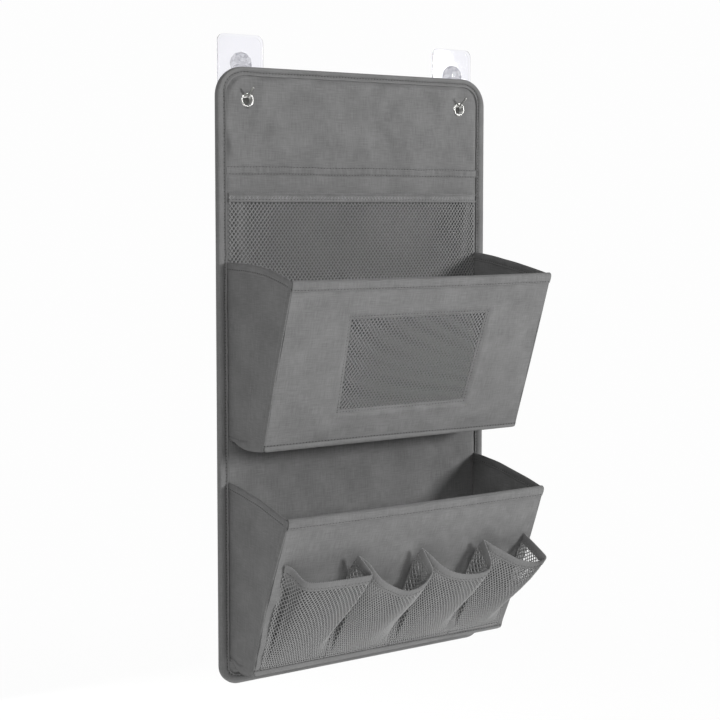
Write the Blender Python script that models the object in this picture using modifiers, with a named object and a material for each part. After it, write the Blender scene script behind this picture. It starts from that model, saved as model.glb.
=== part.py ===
"""A hanging wall organizer: a boarded cloth panel with two pockets that fold flat, on a pair of adhesive hooks.

Metres, +Z up. The wall is the plane Y = 0 and the front faces -Y. The origin is on the wall, midway between the hooks.
Empties stand on the joint axes, and each piece is modelled in the frame of the empty that carries it.
"""

import math

import bmesh
import bpy
from mathutils import Matrix, Vector

# Cloth, boards and the gap that lies between pieces that touch
SEAM_GAP = 0.0003
CLOTH = 0.0008
NET_CLOTH = 0.0006
BINDING_CLOTH = 0.0010
PANEL_BOARD = 0.0020
POCKET_BOARD = 0.0016

# Wall hooks
PAD_WIDTH = 0.048
PAD_HEIGHT = 0.056
PAD_THICKNESS = 0.0008
PLATE_WIDTH = 0.052
PLATE_HEIGHT = 0.060
PLATE_THICKNESS = 0.0016
PLATE_CORNER_RADIUS = 0.008
BOSS_RADIUS = 0.0125
BOSS_DEPTH = 0.0050
BOSS_SIDES = 12
BOSS_FRONT_SHARE = 0.78
WIRE_RADIUS = 0.0012
WIRE_CLEARANCE = 0.0003
WIRE_BEHIND_PANEL = 0.0055
WIRE_SEAT_DEPTH = 0.0080
WIRE_BEND_RADIUS = 0.0036
WIRE_TIP_LENGTH = 0.0120
WIRE_TIP_DEG = 35.0
HOOK_DROP = 0.03275
HANG_GAP = 0.0004

# Back panel
PANEL_WIDTH = 0.330
PANEL_HEIGHT = 0.625
PANEL_TOP_RADIUS = 0.030
PANEL_BOTTOM_RADIUS = 0.020
PANEL_FRONT_OFF_WALL = 0.016
BINDING_WIDTH = 0.010
BOARD_INSET = 0.004
HEADER_SEAM_HEIGHT = 0.522
SEAM_STRIP_WIDTH = 0.0065
SEAM_ALLOWANCE = 0.004
GROMMET_DROP = 0.033
GROMMET_FROM_SIDE = 0.034
GROMMET_HOLE_RADIUS = 0.00525
GROMMET_BARREL_WALL = 0.0005
GROMMET_FLANGE_RADIUS = 0.0076
GROMMET_FLANGE_THICKNESS = 0.0009
CUT_OVERRUN = 0.001

# Flat net pocket behind the upper pocket
NET_POCKET_TOP = 0.4995
NET_POCKET_FROM_SIDE = 0.0125
NET_POCKET_SLACK = 0.0070
NET_POCKET_BINDING = 0.0090
NET_POCKET_SIDE_POWER = 8

# What both box pockets share
POCKET_FROM_SIDE = 0.011
HEM_DEPTH = 0.009
WELT_WIDTH = 0.0055
FRONT_BOARD_INSET = 0.004
GUSSET_BOW = 0.003

# Upper box pocket: heights are above the panel's lower edge, depths are from the panel's face
UPPER_FLOOR_HEIGHT = 0.2492
UPPER_FLOOR_DEPTH = 0.0725
UPPER_FRONT_LENGTH = 0.1763
UPPER_FRONT_LEAN_DEG = 19.4
UPPER_GUSSET_TOP = 0.4300
UPPER_GUSSET_DROP_POWER = 2.2

# Lower box pocket, measured the same way
LOWER_FLOOR_HEIGHT = 0.0225
LOWER_FLOOR_DEPTH = 0.0494
LOWER_FRONT_LENGTH = 0.1830
LOWER_FRONT_LEAN_DEG = 23.5
LOWER_GUSSET_TOP = 0.2080
LOWER_GUSSET_DROP_POWER = 1.5

# Net window in the upper pocket's front, measured up the front from its lower edge
WINDOW_BOTTOM = 0.0385
WINDOW_TOP = 0.1365
WINDOW_BOTTOM_WIDTH = 0.150
WINDOW_TOP_WIDTH = 0.162
WINDOW_SEAM = 0.006
WINDOW_NET_COLUMNS = 13
WINDOW_NET_ROWS = 8
WINDOW_NET_STRAND = 0.0009

# Four small net pockets on the lower pocket's front
SMALL_POCKET_BOTTOM = 0.0075
SMALL_POCKET_TOP = 0.1330
SMALL_POCKET_SAG = 0.0150
SMALL_POCKET_DEPTH = 0.0200
SMALL_POCKET_BINDING = 0.0085
SMALL_POCKETS_FROM_SIDE = 0.005
SMALL_POCKET_SEAM_SHARES = (0.0, 0.252, 0.510, 0.768, 1.0)
SMALL_POCKET_FOOT_SHARE = 0.12
SMALL_POCKET_BOXINESS = 4

# Fineness of round shapes
CORNER_STEPS = 6
TURN_STEPS = 20
WIRE_STEPS = 2
FLAT_NET_STEPS = (16, 5)
SMALL_NET_STEPS = (14, 6)
GUSSET_STEPS = (8, 6)
MERGE_DISTANCE = 0.00001
SLOPE_STEP_SHARE = 0.001

HOOK_SPACING = PANEL_WIDTH - 2 * GROMMET_FROM_SIDE
POCKET_WIDTH = PANEL_WIDTH - 2 * POCKET_FROM_SIDE
NET_POCKET_WIDTH = PANEL_WIDTH - 2 * NET_POCKET_FROM_SIDE
SMALL_POCKET_ROW_WIDTH = POCKET_WIDTH - 2 * SMALL_POCKETS_FROM_SIDE
PANEL_STACK = 2 * CLOTH + PANEL_BOARD + 2 * SEAM_GAP
FRONT_STACK = 2 * CLOTH + POCKET_BOARD + 2 * SEAM_GAP
FLOOR_STACK = CLOTH + POCKET_BOARD + SEAM_GAP
WIRE_TOP = -(BOSS_RADIUS - WIRE_SEAT_DEPTH)
GROMMET_Z = -HOOK_DROP + WIRE_RADIUS + HANG_GAP - GROMMET_HOLE_RADIUS
PANEL_BOTTOM_Z = GROMMET_Z + GROMMET_DROP - PANEL_HEIGHT
GROMMET_HEIGHT = PANEL_HEIGHT - GROMMET_DROP
HINGE_RISE = SEAM_GAP + FLOOR_STACK + SEAM_GAP
INNER_HALF_WIDTH = POCKET_WIDTH / 2 - CLOTH - SEAM_GAP

CLOTH_GREY = (0.205, 0.208, 0.215)
LINING_GREY = (0.150, 0.152, 0.158)
NET_GREY = (0.110, 0.112, 0.116)
BOARD_BROWN = (0.42, 0.36, 0.28)
STEEL = (0.62, 0.62, 0.63)
CLEAR = (0.86, 0.88, 0.90)
FOAM = (0.90, 0.90, 0.88)


def clear_scene():
    for obj in list(bpy.data.objects):
        bpy.data.objects.remove(obj, do_unlink=True)


def new_collection(name):
    collection = bpy.data.collections.new(name)
    bpy.context.scene.collection.children.link(collection)
    return collection


def empty(name, carrier, location, turn=0.0):
    """A joint's axis, or a frame to model in: turned about X inside its carrier."""
    made = bpy.data.objects.new(name, None)
    ORGANIZER.objects.link(made)
    made.parent = carrier
    made.location = location
    made.rotation_euler = (turn, 0.0, 0.0)
    made.empty_display_size = BINDING_WIDTH
    return made


def finish(obj, colour, roughness, metallic=0.0):
    """Gives a piece a material of its own."""
    material = bpy.data.materials.new(obj.name + " finish")
    material.use_nodes = True
    shader = material.node_tree.nodes["Principled BSDF"]
    shader.inputs["Base Color"].default_value = (*colour, 1.0)
    shader.inputs["Roughness"].default_value = roughness
    shader.inputs["Metallic"].default_value = metallic
    material.diffuse_color = (*colour, 1.0)
    obj.data.materials.clear()
    obj.data.materials.append(material)


def woven(obj):
    finish(obj, CLOTH_GREY, 0.85)


def lining(obj):
    finish(obj, LINING_GREY, 0.90)


def netting(obj):
    finish(obj, NET_GREY, 0.80)


def pressed_board(obj):
    finish(obj, BOARD_BROWN, 0.80)


def steel(obj):
    finish(obj, STEEL, 0.25, 1.0)


def clear_plastic(obj):
    finish(obj, CLEAR, 0.10)


def foam_tape(obj):
    finish(obj, FOAM, 0.70)


def arc(centre, radius, start_deg, end_deg, steps):
    """Points along an arc, in a flat outline's own two directions."""
    points = []
    for step in range(steps + 1):
        angle = math.radians(start_deg + (end_deg - start_deg) * step / steps)
        points.append((centre[0] + radius * math.cos(angle), centre[1] + radius * math.sin(angle)))
    return points


def rounded_outline(left, right, bottom, top, bottom_radius, top_radius):
    """A rectangle whose lower and upper corners may be rounded, counted round from the lower left."""
    points = []
    corners = (
        (left, bottom, bottom_radius, 180.0),
        (right, bottom, bottom_radius, 270.0),
        (right, top, top_radius, 0.0),
        (left, top, top_radius, 90.0),
    )
    for x, z, radius, start_deg in corners:
        if radius <= 0.0:
            points.append((x, z))
            continue
        centre_x = x + radius if x == left else x - radius
        centre_z = z + radius if z == bottom else z - radius
        points += arc((centre_x, centre_z), radius, start_deg, start_deg + 90.0, CORNER_STEPS)
    return points


def circle_outline(x, z, radius):
    return arc((x, z), radius, 0.0, 360.0, TURN_STEPS)[:-1]


def add_spline(curve, points, closed=True):
    spline = curve.splines.new("POLY")
    spline.points.add(len(points) - 1)
    for point, place in zip(spline.points, points):
        point.co = (*place, 0.0, 1.0) if len(place) == 2 else (*place, 1.0)
    spline.use_cyclic_u = closed


def flat_piece(name, outlines, front_y, thickness, carrier):
    """A sheet or board: an upright outline and its holes, as thick as said from its front at front_y."""
    curve = bpy.data.curves.new(name, "CURVE")
    curve.dimensions = "2D"
    curve.fill_mode = "BOTH"
    curve.extrude = thickness / 2
    for outline in outlines:
        add_spline(curve, outline)
    obj = bpy.data.objects.new(name, curve)
    ORGANIZER.objects.link(obj)
    obj.parent = carrier
    obj.location = (0.0, front_y + thickness / 2, 0.0)
    obj.rotation_euler = (math.radians(90.0), 0.0, 0.0)
    return obj


def long_strip(name, section, half_length, carrier):
    """A strip of one section all along X: the section is given in Y and Z."""
    curve = bpy.data.curves.new(name, "CURVE")
    curve.dimensions = "2D"
    curve.fill_mode = "BOTH"
    curve.extrude = half_length
    add_spline(curve, section)
    obj = bpy.data.objects.new(name, curve)
    ORGANIZER.objects.link(obj)
    obj.parent = carrier
    obj.rotation_euler = (math.radians(90.0), 0.0, math.radians(90.0))
    return obj


def rectangle(y_0, y_1, z_0, z_1):
    return [(y_0, z_0), (y_1, z_0), (y_1, z_1), (y_0, z_1)]


def turned(name, profile, location, carrier):
    """A round piece turned about an axis that points out of the wall. The profile is (radius, height towards -Y)."""
    mesh = bpy.data.meshes.new(name)
    shape = bmesh.new()
    rim = [shape.verts.new((radius, 0.0, height)) for radius, height in profile]
    for start, end in zip(rim, rim[1:] + rim[:1]):
        shape.edges.new((start, end))
    shape.to_mesh(mesh)
    shape.free()
    obj = bpy.data.objects.new(name, mesh)
    ORGANIZER.objects.link(obj)
    obj.parent = carrier
    obj.location = location
    obj.rotation_euler = (math.radians(90.0), 0.0, 0.0)
    screw = obj.modifiers.new("turn", "SCREW")
    screw.angle = math.radians(360.0)
    screw.steps = TURN_STEPS
    screw.render_steps = TURN_STEPS
    screw.use_merge_vertices = True
    screw.merge_threshold = MERGE_DISTANCE
    screw.use_smooth_shade = True
    return obj


def normal_of(place, across, up):
    """The outward direction of a surface that is given as a function of its two shares."""
    low_across, high_across = max(across - SLOPE_STEP_SHARE, 0.0), min(across + SLOPE_STEP_SHARE, 1.0)
    low_up, high_up = max(up - SLOPE_STEP_SHARE, 0.0), min(up + SLOPE_STEP_SHARE, 1.0)
    along_across = place(high_across, up) - place(low_across, up)
    along_up = place(across, high_up) - place(across, low_up)
    return along_across.cross(along_up).normalized()


def cloth_sheet(name, place, grid_size, thickness, carrier, stand_off=0.0):
    """A sheet of cloth: a grid laid on a surface, or standing off it, with half its thickness on each side."""
    mesh = bpy.data.meshes.new(name)
    grid = bmesh.new()
    bmesh.ops.create_grid(grid, x_segments=grid_size[0], y_segments=grid_size[1], size=1.0)
    for vert in grid.verts:
        across, up = (vert.co.x + 1.0) / 2, (vert.co.y + 1.0) / 2
        vert.co = place(across, up) + normal_of(place, across, up) * stand_off
    grid.to_mesh(mesh)
    grid.free()
    mesh.shade_smooth()
    obj = bpy.data.objects.new(name, mesh)
    ORGANIZER.objects.link(obj)
    obj.parent = carrier
    solidify = obj.modifiers.new("thickness", "SOLIDIFY")
    solidify.thickness = thickness
    solidify.offset = 0.0
    solidify.use_even_offset = True
    return obj


def make_hook(side, x):
    """One adhesive wall hook: foam tape, clear plate, clear faceted boss and bent steel wire."""
    pad = flat_piece(
        side + "_hook_adhesive_pad",
        [rounded_outline(x - PAD_WIDTH / 2, x + PAD_WIDTH / 2, -PAD_HEIGHT / 2, PAD_HEIGHT / 2,
                         PLATE_CORNER_RADIUS, PLATE_CORNER_RADIUS)],
        -PAD_THICKNESS, PAD_THICKNESS, None,
    )
    foam_tape(pad)
    plate_front = -PAD_THICKNESS - SEAM_GAP - PLATE_THICKNESS
    plate = flat_piece(
        side + "_hook_plate",
        [rounded_outline(x - PLATE_WIDTH / 2, x + PLATE_WIDTH / 2, -PLATE_HEIGHT / 2, PLATE_HEIGHT / 2,
                         PLATE_CORNER_RADIUS, PLATE_CORNER_RADIUS)],
        plate_front, PLATE_THICKNESS, None,
    )
    clear_plastic(plate)
    make_boss(side, x, plate_front - SEAM_GAP)
    make_wire(side, x)


def make_boss(side, x, back_y):
    """The faceted button on the plate, bored from below for the wire."""
    mesh = bpy.data.meshes.new(side + "_hook_boss")
    shape = bmesh.new()
    bmesh.ops.create_cone(
        shape, cap_ends=True, segments=BOSS_SIDES,
        radius1=BOSS_RADIUS, radius2=BOSS_RADIUS * BOSS_FRONT_SHARE, depth=BOSS_DEPTH,
    )
    shape.to_mesh(mesh)
    shape.free()
    boss = bpy.data.objects.new(side + "_hook_boss", mesh)
    ORGANIZER.objects.link(boss)
    boss.location = (x, back_y - BOSS_DEPTH / 2, 0.0)
    boss.rotation_euler = (math.radians(90.0), 0.0, 0.0)
    clear_plastic(boss)

    bore_length = WIRE_SEAT_DEPTH + CUT_OVERRUN
    bore_mesh = bpy.data.meshes.new(side + "_hook_boss_bore")
    bore = bmesh.new()
    bmesh.ops.create_cone(
        bore, cap_ends=True, segments=BOSS_SIDES,
        radius1=WIRE_RADIUS + WIRE_CLEARANCE, radius2=WIRE_RADIUS + WIRE_CLEARANCE, depth=bore_length,
    )
    bore.to_mesh(bore_mesh)
    bore.free()
    cutter = bpy.data.objects.new(side + "_hook_boss_bore", bore_mesh)
    CUTTERS.objects.link(cutter)
    cutter.location = (x, -WIRE_BEHIND_PANEL, WIRE_TOP - bore_length / 2)
    cutter.hide_render = True
    cutter.display_type = "WIRE"
    cut = boss.modifiers.new("wire bore", "BOOLEAN")
    cut.operation = "DIFFERENCE"
    cut.object = cutter


def make_wire(side, x):
    """The bent wire: down from its boss, forward through the grommet, and up and out at its tip."""
    down_y = -WIRE_BEHIND_PANEL
    lowest_z = -HOOK_DROP
    turn_y = -PANEL_FRONT_OFF_WALL - GROMMET_FLANGE_THICKNESS - SEAM_GAP
    tip_angle = math.radians(WIRE_TIP_DEG)
    route = [(down_y, WIRE_TOP - WIRE_CLEARANCE)]
    route += arc((down_y - WIRE_BEND_RADIUS, lowest_z + WIRE_BEND_RADIUS), WIRE_BEND_RADIUS, 0.0, -90.0, CORNER_STEPS)
    route += arc((turn_y, lowest_z + WIRE_BEND_RADIUS), WIRE_BEND_RADIUS, 270.0, 270.0 - WIRE_TIP_DEG, CORNER_STEPS)
    last_y, last_z = route[-1]
    route.append((last_y - WIRE_TIP_LENGTH * math.cos(tip_angle), last_z + WIRE_TIP_LENGTH * math.sin(tip_angle)))
    curve = bpy.data.curves.new(side + "_hook_wire", "CURVE")
    curve.dimensions = "3D"
    curve.bevel_depth = WIRE_RADIUS
    curve.bevel_resolution = WIRE_STEPS
    curve.use_fill_caps = True
    add_spline(curve, [(x, y, z) for y, z in route], closed=False)
    wire = bpy.data.objects.new(side + "_hook_wire", curve)
    ORGANIZER.objects.link(wire)
    steel(wire)


def panel_outline(bottom, top, inset):
    """The panel's outline between two heights, drawn in by the inset; only the panel's own corners are rounded."""
    half = PANEL_WIDTH / 2 - inset
    bottom_radius = PANEL_BOTTOM_RADIUS - inset if bottom <= inset else 0.0
    top_radius = PANEL_TOP_RADIUS - inset if top >= PANEL_HEIGHT - inset else 0.0
    return rounded_outline(-half, half, bottom, top, bottom_radius, top_radius)


def grommet_holes(radius):
    return [circle_outline(side * HOOK_SPACING / 2, GROMMET_HEIGHT, radius) for side in (-1, 1)]


def make_panel():
    """Lining, two boards and two faces in one stack, with the seam strip, the edge binding and the grommets."""
    in_channel = BINDING_CLOTH + SEAM_GAP
    hole = GROMMET_HOLE_RADIUS + GROMMET_BARREL_WALL + SEAM_GAP
    board_front = CLOTH + SEAM_GAP
    lining_front = board_front + PANEL_BOARD + SEAM_GAP

    woven(flat_piece(
        "header_face",
        [panel_outline(HEADER_SEAM_HEIGHT + SEAM_GAP / 2, PANEL_HEIGHT - in_channel, in_channel)] + grommet_holes(hole),
        0.0, CLOTH, PANEL,
    ))
    woven(flat_piece(
        "main_face", [panel_outline(in_channel, HEADER_SEAM_HEIGHT - SEAM_GAP / 2, in_channel)], 0.0, CLOTH, PANEL,
    ))
    pressed_board(flat_piece(
        "header_board",
        [panel_outline(HEADER_SEAM_HEIGHT + SEAM_ALLOWANCE, PANEL_HEIGHT - BOARD_INSET, BOARD_INSET)]
        + grommet_holes(hole),
        board_front, PANEL_BOARD, PANEL,
    ))
    pressed_board(flat_piece(
        "main_board", [panel_outline(BOARD_INSET, HEADER_SEAM_HEIGHT - SEAM_ALLOWANCE, BOARD_INSET)],
        board_front, PANEL_BOARD, PANEL,
    ))
    lining(flat_piece(
        "back_lining",
        [panel_outline(in_channel, PANEL_HEIGHT - in_channel, in_channel)] + grommet_holes(hole),
        lining_front, CLOTH, PANEL,
    ))
    woven(long_strip(
        "header_seam_strip",
        rectangle(-SEAM_GAP - CLOTH, -SEAM_GAP,
                  HEADER_SEAM_HEIGHT - SEAM_STRIP_WIDTH / 2, HEADER_SEAM_HEIGHT + SEAM_STRIP_WIDTH / 2),
        PANEL_WIDTH / 2 - BINDING_WIDTH - SEAM_GAP, PANEL,
    ))
    make_edge_binding()
    for side, x in HOOKS:
        make_grommet(side, x)


def make_edge_binding():
    """A tape folded round the panel's edge: a U section carried round the outline."""
    front = -SEAM_GAP
    back = PANEL_STACK + SEAM_GAP
    section = [
        (0.0, front - BINDING_CLOTH),
        (BINDING_WIDTH, front - BINDING_CLOTH),
        (BINDING_WIDTH, front),
        (BINDING_CLOTH, front),
        (BINDING_CLOTH, back),
        (BINDING_WIDTH, back),
        (BINDING_WIDTH, back + BINDING_CLOTH),
        (0.0, back + BINDING_CLOTH),
    ]
    profile = bpy.data.curves.new("edge binding section", "CURVE")
    profile.dimensions = "2D"
    profile.fill_mode = "NONE"
    add_spline(profile, [(inward, -y) for inward, y in section])
    guide = bpy.data.objects.new("edge_binding_section", profile)
    CUTTERS.objects.link(guide)
    guide.hide_render = True

    path = bpy.data.curves.new("edge_binding", "CURVE")
    path.dimensions = "2D"
    path.fill_mode = "NONE"
    path.bevel_mode = "OBJECT"
    path.bevel_object = guide
    add_spline(path, panel_outline(0.0, PANEL_HEIGHT, 0.0))
    binding = bpy.data.objects.new("edge_binding", path)
    ORGANIZER.objects.link(binding)
    binding.parent = PANEL
    binding.rotation_euler = (math.radians(90.0), 0.0, 0.0)
    woven(binding)


def make_grommet(side, x):
    """An eyelet whose barrel goes through the stack, and the washer that it is set against behind."""
    flange_seat = SEAM_GAP
    flange_top = flange_seat + GROMMET_FLANGE_THICKNESS
    washer_seat = -PANEL_STACK - SEAM_GAP
    washer_back = washer_seat - GROMMET_FLANGE_THICKNESS
    barrel = GROMMET_HOLE_RADIUS + GROMMET_BARREL_WALL
    rounding = GROMMET_FLANGE_THICKNESS / 2
    eyelet = turned(
        side + "_grommet_eyelet",
        [
            (GROMMET_HOLE_RADIUS + rounding, flange_top),
            (GROMMET_FLANGE_RADIUS - rounding, flange_top),
            (GROMMET_FLANGE_RADIUS, flange_seat + rounding),
            (GROMMET_FLANGE_RADIUS, flange_seat),
            (barrel, flange_seat),
            (barrel, washer_back),
            (GROMMET_HOLE_RADIUS, washer_back),
            (GROMMET_HOLE_RADIUS, flange_seat + rounding),
        ],
        (x, 0.0, GROMMET_HEIGHT), PANEL,
    )
    steel(eyelet)
    washer = turned(
        side + "_grommet_washer",
        [
            (barrel + SEAM_GAP, washer_seat),
            (GROMMET_FLANGE_RADIUS, washer_seat),
            (GROMMET_FLANGE_RADIUS, washer_back + rounding),
            (GROMMET_FLANGE_RADIUS - rounding, washer_back),
            (barrel + SEAM_GAP, washer_back),
        ],
        (x, 0.0, GROMMET_HEIGHT), PANEL,
    )
    steel(washer)


def make_flat_net_pocket():
    """The flat pocket across the panel: its mouth stands a little off the face, its sides and foot lie on it."""
    base = NET_CLOTH / 2 + SEAM_GAP
    half = NET_POCKET_WIDTH / 2
    foot = UPPER_FLOOR_HEIGHT

    def net(across, up):
        side = 2 * across - 1
        slack = NET_POCKET_SLACK * up * (1 - side ** NET_POCKET_SIDE_POWER)
        return Vector((half * side, -base - slack, foot + (NET_POCKET_TOP - foot) * up))

    def mouth(across, up):
        low = 1 - NET_POCKET_BINDING / (NET_POCKET_TOP - foot)
        return net(across, low + (1 - low) * up)

    netting(cloth_sheet("flat_net_pocket", net, FLAT_NET_STEPS, NET_CLOTH, PANEL))
    woven(cloth_sheet(
        "flat_net_pocket_binding", mouth, (FLAT_NET_STEPS[0], 1), CLOTH, PANEL, NET_CLOTH / 2 + SEAM_GAP + CLOTH / 2,
    ))


def make_box_pocket(
    name, floor_height, floor_depth, front_length, lean_deg, gusset_top, drop_power, floor_seat,
):
    """A pocket that folds flat: two floor halves, the front and two cloth gussets. Returns the front's frame."""
    lean = math.radians(lean_deg)
    foot = Vector((0.0, -SEAM_GAP - FRONT_STACK, -SEAM_GAP - FLOOR_STACK))
    foot.rotate(Matrix.Rotation(lean, 3, "X"))
    axis_height = floor_height - foot.z
    half_floor = (floor_depth + foot.y - floor_seat) / 2

    rear = empty(name + "_floor_rear_axis", PANEL, (0.0, -floor_seat, axis_height))
    front_half = empty(name + "_floor_crease_axis", rear, (0.0, -half_floor, -HINGE_RISE))
    front = empty(name + "_front_axis", front_half, (0.0, -half_floor, HINGE_RISE), lean)

    make_floor_half(name + "_floor_rear", rear, half_floor, 0.0, SEAM_GAP / 2)
    make_floor_half(name + "_floor_front", front_half, half_floor, HINGE_RISE, FLOOR_STACK * math.tan(lean) + SEAM_GAP)
    make_gussets(name, floor_height, floor_depth, front_length, lean, gusset_top, drop_power)
    return front


def make_floor_half(name, carrier, length, axis_level, outer_gap):
    """Half of a pocket's floor: a board on the floor cloth, under the level of the axes at its outer edges."""
    top = axis_level - SEAM_GAP
    board_bottom = top - POCKET_BOARD
    cloth_top = board_bottom - SEAM_GAP
    near, far = -SEAM_GAP / 2, -length + outer_gap
    pressed_board(long_strip(
        name + "_board",
        rectangle(far, near, board_bottom, top), INNER_HALF_WIDTH - SEAM_GAP, carrier,
    ))
    woven(long_strip(
        name + "_cloth",
        rectangle(far, near, cloth_top - CLOTH, cloth_top), INNER_HALF_WIDTH, carrier,
    ))


def make_gussets(name, floor_height, floor_depth, front_length, lean, gusset_top, drop_power):
    """The two cloth sides: straight at the panel, the floor and the front, with a drooping upper edge."""
    top_depth = floor_depth + front_length * math.sin(lean)
    front_top = floor_height + front_length * math.cos(lean)

    for side, label in ((-1, "left"), (1, "right")):
        def gusset(back, up, side=side):
            depth = 1 - back
            low_y = -SEAM_GAP - (floor_depth - SEAM_GAP) * depth
            high_y = -SEAM_GAP - (top_depth - SEAM_GAP) * depth
            high_z = gusset_top - (gusset_top - front_top) * depth ** drop_power
            bow = GUSSET_BOW * math.sin(math.pi * depth) ** 2 * math.sin(math.pi / 2 * up)
            x = side * (POCKET_WIDTH / 2 - CLOTH / 2 - bow)
            return Vector((x, low_y + (high_y - low_y) * up, floor_height + (high_z - floor_height) * up))

        woven(cloth_sheet(name + "_" + label + "_gusset", gusset, GUSSET_STEPS, CLOTH, PANEL))


def front_outline(front_length, inset=0.0):
    """The outline of a pocket's front in its own frame, whose level zero is the floor's axis."""
    low = -SEAM_GAP - FLOOR_STACK
    half = INNER_HALF_WIDTH - inset
    return rounded_outline(-half, half, low + inset, low + front_length - inset, 0.0, 0.0)


def window_outline(margin):
    low = -SEAM_GAP - FLOOR_STACK
    half_bottom, half_top = WINDOW_BOTTOM_WIDTH / 2 + margin, WINDOW_TOP_WIDTH / 2 + margin
    bottom, top = low + WINDOW_BOTTOM - margin, low + WINDOW_TOP + margin
    return [(-half_bottom, bottom), (half_bottom, bottom), (half_top, top), (-half_top, top)]


def make_front(name, front, front_length, windowed):
    """Lining, board and face of a pocket's front, with the hem over its upper edge and the welt along its foot."""
    face_y = -SEAM_GAP - FRONT_STACK
    board_y = face_y + CLOTH + SEAM_GAP
    lining_y = board_y + POCKET_BOARD + SEAM_GAP
    opening = [window_outline(0.0)] if windowed else []
    board_opening = [window_outline(WINDOW_SEAM + SEAM_GAP)] if windowed else []
    trim = SEAM_GAP + CLOTH
    top = front_length - SEAM_GAP - FLOOR_STACK

    woven(flat_piece(name + "_front_face", [front_outline(front_length)] + opening, face_y, CLOTH, front))
    pressed_board(flat_piece(
        name + "_front_board", [front_outline(front_length, FRONT_BOARD_INSET)] + board_opening,
        board_y, POCKET_BOARD, front,
    ))
    lining(flat_piece(name + "_front_lining", [front_outline(front_length)] + opening, lining_y, CLOTH, front))
    outer, inner = face_y - SEAM_GAP, 0.0
    woven(long_strip(
        name + "_front_hem",
        [
            (outer - CLOTH, top - HEM_DEPTH),
            (outer, top - HEM_DEPTH),
            (outer, top + SEAM_GAP),
            (inner, top + SEAM_GAP),
            (inner, top - HEM_DEPTH),
            (inner + CLOTH, top - HEM_DEPTH),
            (inner + CLOTH, top + trim),
            (outer - CLOTH, top + trim),
        ],
        INNER_HALF_WIDTH, front,
    ))
    low = -SEAM_GAP - FLOOR_STACK
    woven(long_strip(
        name + "_front_welt", rectangle(outer - CLOTH, outer, low, low + WELT_WIDTH), INNER_HALF_WIDTH, front,
    ))


def make_window_net(front):
    """The net held in the window's seam, between the face and the lining: a lattice of diamonds."""
    low = -SEAM_GAP - FLOOR_STACK
    held = WINDOW_SEAM - WINDOW_NET_STRAND
    half_bottom, half_top = WINDOW_BOTTOM_WIDTH / 2 + held, WINDOW_TOP_WIDTH / 2 + held
    bottom, top = low + WINDOW_BOTTOM - held, low + WINDOW_TOP + held
    middle_y = -SEAM_GAP - FRONT_STACK / 2
    mesh = bpy.data.meshes.new("upper_window_net")
    lattice = bmesh.new()
    bmesh.ops.create_grid(lattice, x_segments=WINDOW_NET_COLUMNS, y_segments=WINDOW_NET_ROWS, size=1.0)
    straight = [edge for edge in lattice.edges if not edge.is_boundary]
    bmesh.ops.poke(lattice, faces=list(lattice.faces))
    bmesh.ops.dissolve_edges(lattice, edges=straight, use_verts=False)
    for vert in lattice.verts:
        up = (vert.co.y + 1.0) / 2
        half = half_bottom + (half_top - half_bottom) * up
        vert.co = (half * vert.co.x, middle_y, bottom + (top - bottom) * up)
    lattice.to_mesh(mesh)
    lattice.free()
    net = bpy.data.objects.new("upper_window_net", mesh)
    ORGANIZER.objects.link(net)
    net.parent = front
    strands = net.modifiers.new("strands", "WIREFRAME")
    strands.thickness = WINDOW_NET_STRAND
    strands.use_replace = True
    strands.use_boundary = True
    strands.use_even_offset = False
    netting(net)


def make_small_pockets(front):
    """Four net pockets in a row: boxy at the mouth, drawn in to the front at the foot, each mouth bound with tape."""
    low = -SEAM_GAP - FLOOR_STACK
    face_y = -SEAM_GAP - FRONT_STACK
    tape = NET_CLOTH / 2 + SEAM_GAP + CLOTH
    in_from_seam = tape + SEAM_GAP / 2
    lean_on = SEAM_GAP + NET_CLOTH / 2
    edges = [SMALL_POCKET_ROW_WIDTH * (share - 1 / 2) for share in SMALL_POCKET_SEAM_SHARES]

    for number, (left, right) in enumerate(zip(edges, edges[1:]), start=1):
        left, right = left + in_from_seam, right - in_from_seam

        def net(across, up, left=left, right=right):
            from_middle = math.sin(math.pi * (across - 1 / 2))
            side = abs(from_middle) ** SMALL_POCKET_BOXINESS
            fullness = max(1 - side, 0.0) ** (1 / SMALL_POCKET_BOXINESS)
            depth = SMALL_POCKET_DEPTH * (SMALL_POCKET_FOOT_SHARE + (1 - SMALL_POCKET_FOOT_SHARE) * up)
            mouth = SMALL_POCKET_TOP - SMALL_POCKET_SAG * (1 - side)
            height = low + SMALL_POCKET_BOTTOM + (mouth - SMALL_POCKET_BOTTOM) * up
            x = left + (right - left) * (1 + from_middle) / 2
            return Vector((x, face_y - lean_on - depth * fullness, height))

        def tape_band(across, up, net=net):
            start = 1 - SMALL_POCKET_BINDING / (SMALL_POCKET_TOP - SMALL_POCKET_BOTTOM)
            return net(across, start + (1 - start) * up)

        name = "small_net_pocket_" + str(number)
        netting(cloth_sheet(name, net, SMALL_NET_STEPS, NET_CLOTH, front))
        woven(cloth_sheet(
            name + "_binding", tape_band, (SMALL_NET_STEPS[0], 1), CLOTH, front, NET_CLOTH / 2 + SEAM_GAP + CLOTH / 2,
        ))


HOOKS = (("left", -HOOK_SPACING / 2), ("right", HOOK_SPACING / 2))

clear_scene()
ORGANIZER = new_collection("Hanging wall organizer")
CUTTERS = new_collection("Cutters and sections")

SWING = empty("organizer_swing_axis", None, (0.0, -PANEL_FRONT_OFF_WALL + PANEL_STACK / 2, -HOOK_DROP + WIRE_RADIUS))
PANEL = empty("panel_frame", SWING, (0.0, -PANEL_STACK / 2, PANEL_BOTTOM_Z + HOOK_DROP - WIRE_RADIUS))

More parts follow.
